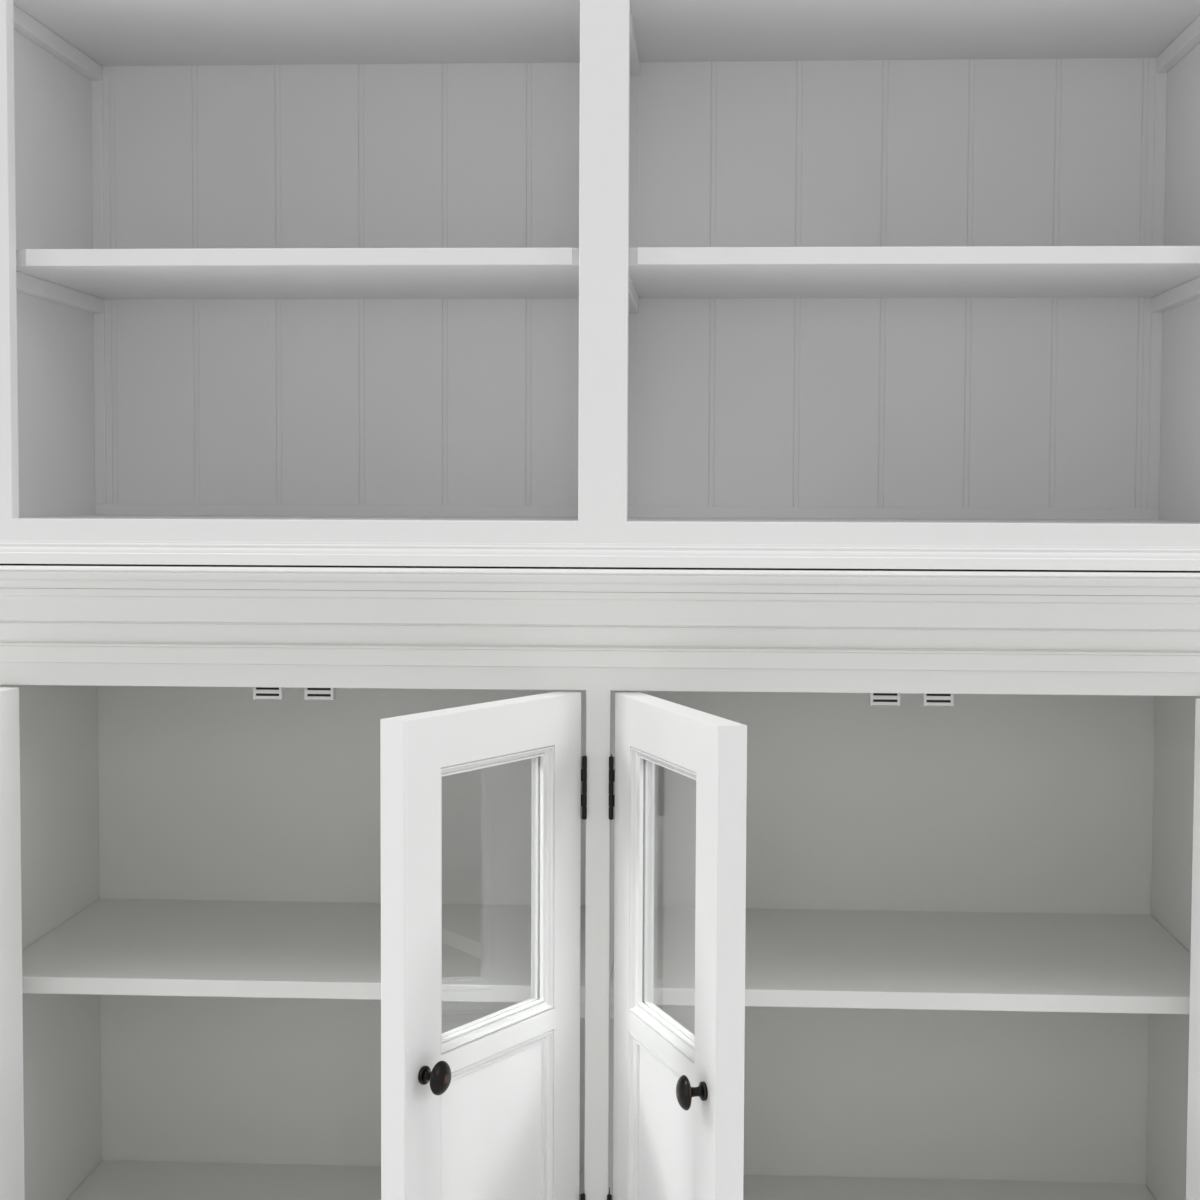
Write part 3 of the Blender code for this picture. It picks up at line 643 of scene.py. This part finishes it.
def add_boards():
    """Shelves, floors, the sub-top and the base's back, with eased edges.

    The hutch's shelves are notched behind the stiles.
    """
    stile_side = HUTCH_CENTRE_STILE / 2 + NOTCH_REACH
    end_side = HALF_WIDTH - END_STILE - NOTCH_REACH
    for node in ("base_floor", "base_subtop", "base_shelf_left", "base_shelf_right", "base_back"):
        low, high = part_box(node)
        if node == "base_back":
            high.y -= BACK_THINNING
        add_piece(f"{node}_board", [board_shell(low, high)], BASE_PAINT_WARM_LIT, nodes=[node])
    add_piece("hutch_floor_board", [board_shell(*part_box("hutch_floor"))], HUTCH_PAINT, nodes=["hutch_floor"])
    for level in ("lower", "upper"):
        for side in ("left", "right"):
            node = f"hutch_{level}_shelf_{side}"
            low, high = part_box(node)
            first, last = (stile_side, end_side) if side == "right" else (-end_side, -stile_side)
            deep = low.y + NOTCH_DEPTH
            plan = [(low.x, deep), (first - 0.0015, deep), (first - 0.0005, deep - 0.0008), (first, low.y)]
            plan += [(last, low.y), (last + 0.0005, deep - 0.0008), (last + 0.0015, deep), (high.x, deep)]
            plan += [(high.x, high.y), (low.x, high.y)]
            shell = slab_shell(plan, low.z, high.z)
            add_piece(f"{node}_board", [shell], HUTCH_PAINT, nodes=[node], smooth=40)


def cleat_tops(part):
    """Where the cleats' upper faces lie, just under the shelves of this part."""
    shelves = {"base": ["base_shelf_left"], "hutch": ["hutch_lower_shelf_left", "hutch_upper_shelf_left"]}
    return [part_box(shelf)[0].z for shelf in shelves[part]]


def add_uprights():
    """The sides and the dividers, with the cleats that carry the shelves."""
    base_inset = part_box("base_shelf_left")[0].y + CLEAT_SET_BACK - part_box("base_divider")[0].y
    for part, material, inset in (("base", BASE_PAINT_WARM_LIT, base_inset), ("hutch", HUTCH_PAINT, 0.0)):
        for side in ("left", "right"):
            node = f"{part}_side_{side}"
            low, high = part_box(node)
            panel_low, panel_high = low.copy(), high.copy()
            if side == "left":
                panel_high.x = low.x + SIDE_THICKNESS
            else:
                panel_low.x = high.x - SIDE_THICKNESS
            add_piece(f"{node}_panel", [board_shell(panel_low, panel_high)], material, nodes=[node])
            for number, top in enumerate(cleat_tops(part)):
                cleat_low = (low.x if side == "right" else panel_high.x, low.y + inset, top - CLEAT_HEIGHT)
                cleat_high = (high.x if side == "left" else panel_low.x, high.y, top)
                add_piece(f"{node}_cleat_{number}", [board_shell(cleat_low, cleat_high)], material)
        node = f"{part}_divider"
        low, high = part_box(node)
        half = DIVIDER_THICKNESS / 2
        shell = board_shell((-half, low.y, low.z), (half, high.y, high.z))
        add_piece(f"{node}_panel", [shell], material, nodes=[node])
        for number, top in enumerate(cleat_tops(part)):
            for side, near, far in (("left", low.x, -half), ("right", half, high.x)):
                shell = board_shell((near, low.y + inset, top - CLEAT_HEIGHT), (far, high.y, top))
                add_piece(f"{node}_cleat_{side}_{number}", [shell], material)


def face_ring(inner, outer, front, back, seam):
    """Half of a face frame: a rectangular ring with eased edges round the opening and outside."""
    corner = eased_corner(ARRIS)
    profile = [(0, 0, back)]
    profile += [(0, across, front + along) for across, along in corner]
    profile += [(1, -across, front + along) for across, along in corner[::-1]]
    profile += [(1, 0, back)]
    return ring_shell(inner, outer, profile, seam)


def add_face_frames():
    """Stiles and rails, painted over as one surface, in two halves that meet down the centre stile."""
    for part, material, centre_stile, lift in (
        ("base", BASE_PAINT_WARM_LIT, BASE_CENTRE_STILE, 0.0),
        ("hutch", HUTCH_PAINT, HUTCH_CENTRE_STILE, FRAME_LIFT),
    ):
        node = f"{part}_face_frame"
        low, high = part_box(node)
        if part == "base":
            opening_low, opening_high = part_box("base_floor")[1].z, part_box("base_subtop")[0].z
        else:
            opening_low, opening_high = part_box("hutch_floor")[1].z, HUTCH_OPENING_TOP
        shells = []
        for side in (-1, 1):
            inner_x = sorted((side * centre_stile / 2, side * (HALF_WIDTH - END_STILE)))
            outer_x = sorted((0.0, side * HALF_WIDTH))
            inner = (*inner_x, opening_low, opening_high)
            outer = (*outer_x, low.z + lift, high.z)
            seam = "low_x" if side > 0 else "high_x"
            shells.append(face_ring(inner, outer, low.y, high.y, seam))
        add_piece(node + "_painted", shells, material, nodes=[node], smooth=25)


def add_mouldings():
    """Cornice, crown and skirt, mitred round the front corners, and the two boards with moulded edges."""
    for node, table, carrier, material in (
        ("base_cornice", CORNICE, "base_face_frame", BASE_PAINT_WARM_LIT),
        ("hutch_crown", CROWN, "hutch_face_frame", HUTCH_PAINT),
        ("hutch_base_moulding", SKIRT, "hutch_face_frame", HUTCH_PAINT),
    ):
        low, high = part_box(node)
        proud = high.x - HALF_WIDTH
        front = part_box(carrier)[0].y
        shape = outline(table, proud, high.z - low.z)
        closed = np.concatenate([[(0.0, shape[0, 1])], shape, [(0.0, high.z - low.z)]])
        closed = softened(closed, FINE_ARRIS)
        shell = run_shell(closed, HALF_WIDTH, front, high.y, low.z)
        add_piece(node + "_run", [shell], material, nodes=[node], smooth=32)
    for node, carrier, material in (
        ("base_top_board", "base_face_frame", BASE_PAINT_WARM_LIT),
        ("hutch_top_board", "hutch_face_frame", HUTCH_PAINT),
    ):
        low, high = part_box(node)
        proud = high.x - HALF_WIDTH
        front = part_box(carrier)[0].y
        height = high.z - low.z - (LEDGE_DROP if node == "base_top_board" else 0.0)
        shape = outline(BOARD_EDGE, proud, height)
        closed = softened(np.concatenate([[(-0.05, 0.0)], shape, [(-0.05, height)]]), FINE_ARRIS)
        edge = closed[closed[:, 0] > -0.02]
        side = HALF_WIDTH + edge[:, 0]
        near = front - edge[:, 0]
        points = np.empty((len(edge), 4, 3))
        points[..., 0] = np.stack([-side, side, side, -side], axis=-1)
        points[..., 1] = np.stack([np.full(len(edge), high.y)] * 2 + [near] * 2, axis=-1)
        points[..., 2] = (low.z + edge[:, 1])[:, None]
        add_piece(node + "_moulded", [grid_shell(points, caps=True)], material, nodes=[node], smooth=32)


def add_beadboard():
    """The hutch's back: across its width, a bead between two fine grooves at each pitch."""
    node = "hutch_beadboard_back"
    low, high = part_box(node)
    pitch, bead, half_groove = 0.1025, 0.0061, 0.0007
    first = DIVIDER_THICKNESS / 2
    count = int((HALF_WIDTH - SIDE_THICKNESS - first) / pitch)
    middles = first + pitch * np.arange(1, count + 1)
    middles = np.concatenate([-middles[::-1], middles])
    steps = np.linspace(-1, 1, 9)
    groove = np.stack([steps * half_groove, (1 - abs(steps)) ** 0.8], axis=-1)
    crown_steps = np.linspace(-1, 1, 7)[1:-1]
    crown = np.stack([crown_steps * (bead / 2 - half_groove), np.zeros(5)], axis=-1)
    first_groove = groove * (1, 0.0010) - (bead / 2, 0)
    second_groove = groove * (1, 0.0007) + (bead / 2, 0)
    shape = np.concatenate([first_groove, crown, second_groove])
    across = (middles[:, None] + shape[None, :, 0]).ravel()
    deep = np.tile(low.y + shape[:, 1], len(middles))
    edge = np.stack([across, deep], axis=-1)
    behind = high.y - BACK_THINNING
    others = [(HALF_WIDTH, low.y), (HALF_WIDTH, behind), (-HALF_WIDTH, behind)]
    edge = np.concatenate([[(-HALF_WIDTH, low.y)], edge, others])
    points = np.empty((2, len(edge), 3))
    points[..., :2] = edge
    points[..., 2] = np.array([low.z, high.z])[:, None]
    add_piece("hutch_beadboard", [grid_shell(points, caps=True)], HUTCH_PAINT, nodes=[node])

    levels = [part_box("hutch_floor")[1].z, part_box("hutch_lower_shelf_left")[0].z]
    levels += [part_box("hutch_lower_shelf_left")[1].z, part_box("hutch_upper_shelf_left")[0].z]
    levels += [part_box("hutch_upper_shelf_left")[1].z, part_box("hutch_side_left")[1].z]
    face, behind = low.y - BACK_STRIP_THICKNESS, low.y + 0.001
    for side, hand in (("left", -1), ("right", 1)):
        near, far = hand * DIVIDER_THICKNESS / 2, hand * (HALF_WIDTH - SIDE_THICKNESS)
        ends = sorted((near, far))
        foot_top = levels[0] + BACK_STRIP_WIDTH
        foot = board_shell((ends[0], face, levels[0] - 0.001), (ends[1], behind, foot_top), FINE_ARRIS)
        add_piece(f"hutch_back_foot_strip_{side}", [foot], HUTCH_PAINT)
        strips = []
        for start, end in ((foot_top, levels[1]), (levels[2], levels[3]), (levels[4], levels[5])):
            for edge in (near, far - hand * BACK_STRIP_WIDTH):
                across = sorted((edge, edge + hand * BACK_STRIP_WIDTH))
                strips.append(board_shell((across[0], face, start), (across[1], behind, end), FINE_ARRIS))
        add_piece(f"hutch_back_corner_strips_{side}", strips, HUTCH_PAINT)


def door_record(door):
    """The door's hand, its pin's place and how far it stands open, from the frame's joint."""
    joint = next(found for found in frame["joints"] if found["name"] == f"{door}_door_swing")
    return -joint["axis"][2], joint["pos_m"], -joint["range_deg"][0]


def door_matrix(hand, pin, angle):
    """Carries a closed door, drawn from its pin towards +X, to its place."""
    turn = Matrix.Rotation(-hand * math.radians(angle), 4, "Z")
    return Matrix.Translation((pin[0], pin[1], 0)) @ turn @ Matrix.Diagonal((hand, 1, 1, 1))


def door_ring(inner, outer, depth, opening_back, back_offset, seam):
    """One storey of a door's frame: sticking round the opening, flats, eased outer edges, and the back."""
    sticking = outline(STICKING, STICKING_WIDTH, depth)[::-1]
    front, back = PIN_STANDOFF, PIN_STANDOFF + DOOR_THICKNESS
    profile = [(0, offset, front + deep) for offset, deep in sticking[:-1]]
    inner_corner, outer_corner = eased_corner(FINE_ARRIS), eased_corner(ARRIS)
    profile += [(0, STICKING_WIDTH + across, front + along) for across, along in inner_corner]
    profile += [(1, -across, front + along) for across, along in outer_corner[::-1]]
    profile += [(1, -across, back - along) for across, along in outer_corner]
    profile += [(0, back_offset + across, back - along) for across, along in inner_corner[::-1]]
    profile += [(0, back_offset, front + opening_back), (0, 0, front + opening_back)]
    return ring_shell(inner, outer, profile, seam)


def add_door(door):
    """A door's frame, panel, pane, glazing beads, knob, strike plate and hinge leaves."""
    hand, pin, angle = door_record(door)
    body = f"{door}_door"
    matrix = door_matrix(hand, pin, angle)
    bottom, top = (corner.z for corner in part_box(f"{door}_door_frame"))
    edge = HINGE_GAP / 2
    sight_x = (edge + HINGE_STILE + STICKING_WIDTH, edge + DOOR_WIDTH - FREE_STILE - STICKING_WIDTH)
    glass_top = top - TOP_RAIL - STICKING_WIDTH
    glass_bottom = glass_top - GLASS_SIGHT_HEIGHT
    panel_top = glass_bottom - MIDDLE_RAIL - 2 * STICKING_WIDTH
    panel_bottom = bottom + BOTTOM_RAIL + STICKING_WIDTH
    middle = (glass_bottom + panel_top) / 2
    glass = (*sight_x, glass_bottom, glass_top)
    panel = (*sight_x, panel_bottom, panel_top)
    upper = (edge, edge + DOOR_WIDTH, middle, top)
    lower = (edge, edge + DOOR_WIDTH, bottom, middle)
    glass_depth = GLASS_SET_IN - GLASS_GAP
    shells = [
        door_ring(glass, upper, glass_depth, glass_depth, REBATE_WIDTH, "low_z"),
        door_ring(panel, lower, PANEL_SET_IN, PANEL_SET_IN + 0.004, 0.0, "high_z"),
    ]
    add_piece(
        f"{body}_painted_frame",
        [placed(shell, matrix) for shell in shells],
        DOOR_PAINT_LIT_LIGHTER,
        body,
        nodes=[f"{door}_door_frame"],
        smooth=32,
    )

    def door_box(x, depth, z, radius):
        low = (x[0], PIN_STANDOFF + depth[0], z[0])
        high = (x[1], PIN_STANDOFF + depth[1], z[1])
        return placed(board_shell(low, high, radius), matrix)

    panel_x = (sight_x[0] - 0.006, sight_x[1] + 0.006)
    panel_z = (panel_bottom - 0.006, panel_top + 0.006)
    shell = door_box(panel_x, (PANEL_SET_IN, PANEL_SET_IN + 0.008), panel_z, FINE_ARRIS)
    add_piece(f"{body}_flat_panel", [shell], DOOR_PAINT_LIT_LIGHTER, body, nodes=[f"{door}_door_panel"])

    margin = REBATE_WIDTH - 0.0005
    pane_x = (sight_x[0] - margin, sight_x[1] + margin)
    pane_z = (glass_bottom - margin, glass_top + margin)
    shell = door_box(pane_x, (GLASS_SET_IN + 0.0002, GLASS_SET_IN + 0.0032), pane_z, 0.0002)
    add_piece(f"{body}_pane", [shell], PANE, body, [f"{door}_door_glass"])

    bead_front = PIN_STANDOFF + GLASS_SET_IN + 0.0034
    bead = [(0, 0.0, bead_front), (0, 0.0, bead_front + 0.0025)]
    slope = eased_corner(0.0045)[1:-1]
    bead += [(0, 0.0045 - along, bead_front + 0.0070 - across) for across, along in slope[::-1]]
    bead += [(0, REBATE_WIDTH, bead_front + 0.0070), (0, REBATE_WIDTH, bead_front)]
    shell = placed(ring_shell(glass, glass, bead), matrix)
    add_piece(f"{body}_glazing_bead", [shell], DOOR_PAINT_LIT_LIGHTER, body, smooth=32)

    knob_low, knob_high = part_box(f"{door}_door_knob")
    knob_height = (knob_low.z + knob_high.z) / 2
    knob_place = Matrix.Translation((edge + DOOR_WIDTH - FREE_STILE / 2, PIN_STANDOFF, knob_height))
    knob_matrix = matrix @ knob_place @ Matrix.Rotation(math.pi / 2, 4, "X")
    shell = turned_shell(KNOB, KNOB_RADIUS, KNOB_LENGTH, KNOB_SIDES, knob_matrix)
    knob = add_piece(
        f"{body}_turned_knob", [shell], BRONZE, body, [f"{door}_door_knob"], smooth=50
    )
    add_turning_map(knob, np.array(knob_matrix))

    plate_x = edge + DOOR_WIDTH - 0.0257
    plate_depth = (DOOR_THICKNESS, DOOR_THICKNESS + 0.001)
    plate = door_box((plate_x - 0.009, plate_x + 0.009), plate_depth, (top - 0.0125, top - 0.0005), 0.0004)
    screw_centre = matrix @ Vector((plate_x, PIN_STANDOFF + DOOR_THICKNESS + 0.001, top - 0.0065))
    screw = screw_shell(screw_centre, (matrix.to_3x3() @ Vector((0, 1, 0))), 0.0022)
    add_piece(f"{body}_strike_plate", [plate, screw], PLATE_STEEL, body, smooth=40)

    for level in ("upper", "lower"):
        leaf_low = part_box(f"{door}_{level}_hinge_frame_leaf")[0].z
        add_leaf(f"{door}_{level}_hinge_door_leaf", body, matrix, 1, leaf_low)
        still = Matrix.Translation((pin[0], pin[1], 0)) @ Matrix.Diagonal((hand, 1, 1, 1))
        add_leaf(f"{door}_{level}_hinge_frame_leaf", "carcass", still, -1, leaf_low)


def add_turning_map(item, matrix):
    """A UV map on a turned piece: V is the share of its length that each corner lies at."""
    mesh = item.data
    points = np.empty(len(mesh.vertices) * 3)
    mesh.vertices.foreach_get("co", points)
    points = points.reshape(-1, 3)
    axis = matrix[:3, 2]
    along = (points - matrix[:3, 3]) @ axis / KNOB_LENGTH
    corners = np.empty(len(mesh.loops), int)
    mesh.loops.foreach_get("vertex_index", corners)
    values = np.stack([np.zeros(len(corners)), along[corners]], axis=-1)
    layer = mesh.uv_layers.new(name="turning")
    layer.data.foreach_set("uv", values.ravel())


def add_leaf(node, body, matrix, side, bottom):
    """A hinge leaf: its plate with three screws, its knuckles, and the pin on the leaf that holds it."""
    pitch = HINGE_LENGTH / KNUCKLE_COUNT
    holds_pin = side < 0
    near, far = sorted((side * LEAF_STANDOFF, side * (LEAF_STANDOFF + LEAF_THICKNESS)))
    start = KNUCKLE_RADIUS + 0.0006
    end = PIN_STANDOFF + LEAF_DEPTH
    shells = [board_shell((near, start, bottom), (far, end, bottom + HINGE_LENGTH), 0.0003)]
    knuckle = [(0.0, 0.0), (0.80, 0.0), (1.0, 0.04), (1.0, 0.96), (0.80, 1.0), (0.0, 1.0)]
    gap = 0.00015
    for number in range(0 if holds_pin else 1, KNUCKLE_COUNT, 2):
        low = bottom + pitch * number + gap
        length = pitch - 2 * gap
        place = Matrix.Translation((0, 0, low))
        shells.append(turned_shell(knuckle, KNUCKLE_RADIUS, length, HINGE_SIDES, place))
        shells.append(board_shell((near, 0.0004, low), (far, start + 0.001, low + length), 0.0002))
    if holds_pin:
        pin_head = [(0.0, 0.0), (0.62, 0.0), (0.62, 1.0), (0.0, 1.0)]
        place = Matrix.Translation((0, 0, bottom - 0.0003))
        shells.append(turned_shell(pin_head, KNUCKLE_RADIUS, HINGE_LENGTH + 0.0006, HINGE_SIDES, place))
    shells = [placed(shell, matrix) for shell in shells]
    face = side * LEAF_STANDOFF
    normal = matrix.to_3x3() @ Vector((-side, 0, 0))
    for share, depth in ((0.16, 0.5), (0.50, 0.62), (0.84, 0.5)):
        centre = matrix @ Vector((face, start + (end - start) * depth, bottom + HINGE_LENGTH * share))
        shells.append(screw_shell(centre - normal * 0.0004, normal, 0.0024, turn=share * 5))
    add_piece(node + "_made", shells, HINGE_STEEL, body, [node], smooth=40)


def add_catches():
    """White touch catches: a housing with two dark slots, hung from two thin ears with a screw each.

    The housing is made of three bars with the slots between them, two cheeks and a core behind the slots.
    """
    half, slot_half = 0.015, 0.0121
    bars = ((0.0, 0.0022), (0.0048, 0.0087), (0.0113, 0.0145))
    slots = ((0.0022, 0.0048), (0.0087, 0.0113))
    for side in ("left", "right"):
        for place in ("inner", "outer"):
            node = f"{side}_{place}_catch"
            low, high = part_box(node)
            middle = (low.x + high.x) / 2

            def bar(across, depth, down, radius):
                corner = (middle + across[0], low.y + depth[0], high.z - down[1])
                opposite = (middle + across[1], low.y + depth[1], high.z - down[0])
                return board_shell(corner, opposite, radius)

            deep = high.y - low.y
            reach = slot_half + 0.0008
            shells = [bar((-reach, reach), (0.0001, deep), down, 0.0003) for down in bars]
            shells.append(bar((-half, -slot_half), (0, deep), (0, 0.0150), 0.0005))
            shells.append(bar((slot_half, half), (0, deep), (0, 0.0150), 0.0005))
            core_half = half - 0.001
            shells.append(bar((-core_half, core_half), (0.003, deep - 0.0002), (0.0002, 0.0140), 0.0005))
            shells.append(bar((low.x - middle, high.x - middle), (0.002, deep - 0.002), (0, 0.0013), 0.0005))
            add_piece(node + "_housing", shells, PLASTIC, nodes=[node])
            fitted = [(near - 0.0003, far + 0.0003) for near, far in slots]
            poles = [bar((-reach, reach), (0.0018, 0.0042), down, 0.0002) for down in fitted]
            add_piece(node + "_pole_pieces", poles, SLOT_DARK)
            screws = []
            for across in (-1, 1):
                centre = (middle + across * (half + 0.0042), (low.y + high.y) / 2, high.z - 0.0011)
                screws.append(screw_shell(centre, (0, 0, -1), 0.0019, turn=0.5 + across))
            add_piece(node + "_screws", screws, PLATE_STEEL, smooth=40)


def add_back_screws():
    """Screws round the outside of both backs, into the sides, the divider and the shelves."""
    for part, node, rows in (("base", "base_back", 5), ("hutch", "hutch_beadboard_back", 6)):
        low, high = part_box(node)
        heights = np.linspace(low.z + 0.06, high.z - 0.06, rows)
        shells = []
        for x in (low.x + 0.010, 0.0, high.x - 0.010):
            for number, z in enumerate(heights):
                shells.append(screw_shell((x, high.y - 0.0009, z), (0, 1, 0), 0.0036, turn=number * 0.7 + x))
        add_piece(f"{part}_back_screws", shells, PLATE_STEEL, smooth=40)


def add_stage():
    """A plain pale floor, which fades to white far from the cabinet where it is seen directly."""
    reach = 16.0
    mesh = bpy.data.meshes.new("studio_floor")
    corners = [(-reach, -reach, 0.0), (reach, -reach, 0.0), (reach, reach, 0.0), (-reach, reach, 0.0)]
    mesh.from_pydata(corners, [], [(0, 1, 2, 3)])
    material, tree, shader, place = new_material("studio_white")
    tone = blend_colours(tree, noise(tree, place, 2.0), grey(0.78), grey(0.80))
    tree.links.new(tone, shader.inputs["Base Color"])
    shader.inputs["Roughness"].default_value = 0.8
    shader.inputs["Emission Color"].default_value = (1, 1, 1, 1)
    distance = add_node(tree, "ShaderNodeVectorMath", [(0, place)], operation="LENGTH").outputs["Value"]
    fade = add_node(
        tree,
        "ShaderNodeMapRange",
        [("Value", distance), ("From Min", 1.5), ("From Max", 8.0), ("To Min", 0.22), ("To Max", 0.75)],
    )
    lifted = add_node(
        tree, "ShaderNodeMath", [(0, fade.outputs["Result"]), (1, seen_directly(tree))], operation="MULTIPLY"
    )
    tree.links.new(lifted.outputs[0], shader.inputs["Emission Strength"])
    mesh.materials.append(material)
    floor = bpy.data.objects.new("studio_floor", mesh)
    bpy.context.collection.objects.link(floor)


# The camera, as solved from the photograph
CAMERA_PLACE = Vector((0.1125, -2.2337, 0.9267))
CAMERA_YAW = math.radians(3.1741)
CAMERA_PITCH = math.radians(3.0376)
CAMERA_ROLL = math.radians(0.2302)
CAMERA_LENS = 60.26


def add_camera():
    """The camera looks along a direction turned left by the yaw and down by the pitch, and rolls about it."""
    ahead = Vector(
        (
            -math.sin(CAMERA_YAW) * math.cos(CAMERA_PITCH),
            math.cos(CAMERA_YAW) * math.cos(CAMERA_PITCH),
            -math.sin(CAMERA_PITCH),
        )
    )
    level = Vector((math.cos(CAMERA_YAW), math.sin(CAMERA_YAW), 0))
    over = level.cross(ahead)
    right = math.cos(CAMERA_ROLL) * level + math.sin(CAMERA_ROLL) * over
    up = -math.sin(CAMERA_ROLL) * level + math.cos(CAMERA_ROLL) * over
    camera = bpy.data.cameras.new("camera")
    camera.lens = CAMERA_LENS
    camera.sensor_width = 36.0
    item = bpy.data.objects.new("camera", camera)
    item.matrix_world = Matrix(
        (
            (right.x, up.x, -ahead.x, CAMERA_PLACE.x),
            (right.y, up.y, -ahead.y, CAMERA_PLACE.y),
            (right.z, up.z, -ahead.z, CAMERA_PLACE.z),
            (0, 0, 0, 1),
        )
    )
    bpy.context.collection.objects.link(item)
    bpy.context.scene.camera = item


# Soft boxes: name, place, what it faces, width, height, power in watts
LAMPS = (
    ("left_key", (-4.45, -0.58, 4.76), (0.0, -0.35, 0.75), 1.2, 1.2, 145.0),
    ("right_key", (4.45, -0.58, 4.76), (0.0, -0.35, 0.75), 1.2, 1.2, 92.0),
    ("left_fill", (-2.604, -1.853, 1.844), (0.0, -0.35, 0.75), 1.0, 1.0, 4.0),
    ("right_fill", (2.604, -1.853, 1.844), (0.0, -0.35, 0.75), 1.0, 1.0, 11.0),
    ("low_left_fill", (-2.764, -1.946, 0.527), (0.0, -0.35, 0.75), 0.8, 0.8, 5.0),
    ("near_front", (0.1, -2.5, 1.15), (0.0, 0.0, 0.9), 0.5, 0.5, 3.8),
    ("overhead", (0.0, -1.0, 2.9), (0.0, -0.25, 0.8), 2.4, 0.8, 5.5),
    ("behind_left", (-2.3, 1.9, 2.3), (0.0, 0.1, 0.9), 1.2, 1.2, 10.0),
    ("behind_right", (2.3, 1.9, 1.6), (0.0, 0.1, 0.9), 1.2, 1.2, 10.0),
)
WORLD_LIGHT = 0.37


def add_lights():
    """Soft boxes, and a world that looks white and lights dimly."""
    for name, place, target, width, height, power in LAMPS:
        light = bpy.data.lights.new(name, "AREA")
        light.shape = "RECTANGLE"
        light.size, light.size_y = width, height
        light.energy = power
        item = bpy.data.objects.new(name, light)
        item.location = place
        item.rotation_mode = "QUATERNION"
        item.rotation_quaternion = (Vector(target) - Vector(place)).to_track_quat("-Z", "Y")
        item.visible_camera = False
        bpy.context.collection.objects.link(item)
    world = bpy.data.worlds.new("studio")
    world.use_nodes = True
    tree = world.node_tree
    background = tree.nodes["Background"]
    background.inputs["Color"].default_value = (1, 1, 1, 1)
    tree.links.new(between(tree, seen_directly(tree), WORLD_LIGHT, 1.0), background.inputs["Strength"])
    bpy.context.scene.world = world


add_boards()
add_uprights()
add_face_frames()
add_mouldings()
add_beadboard()
for door in ("left_outer", "left_inner", "right_inner", "right_outer"):
    add_door(door)
add_catches()
add_back_screws()
add_stage()
add_camera()
add_lights()
bpy.context.scene.view_settings.view_transform = "Standard"
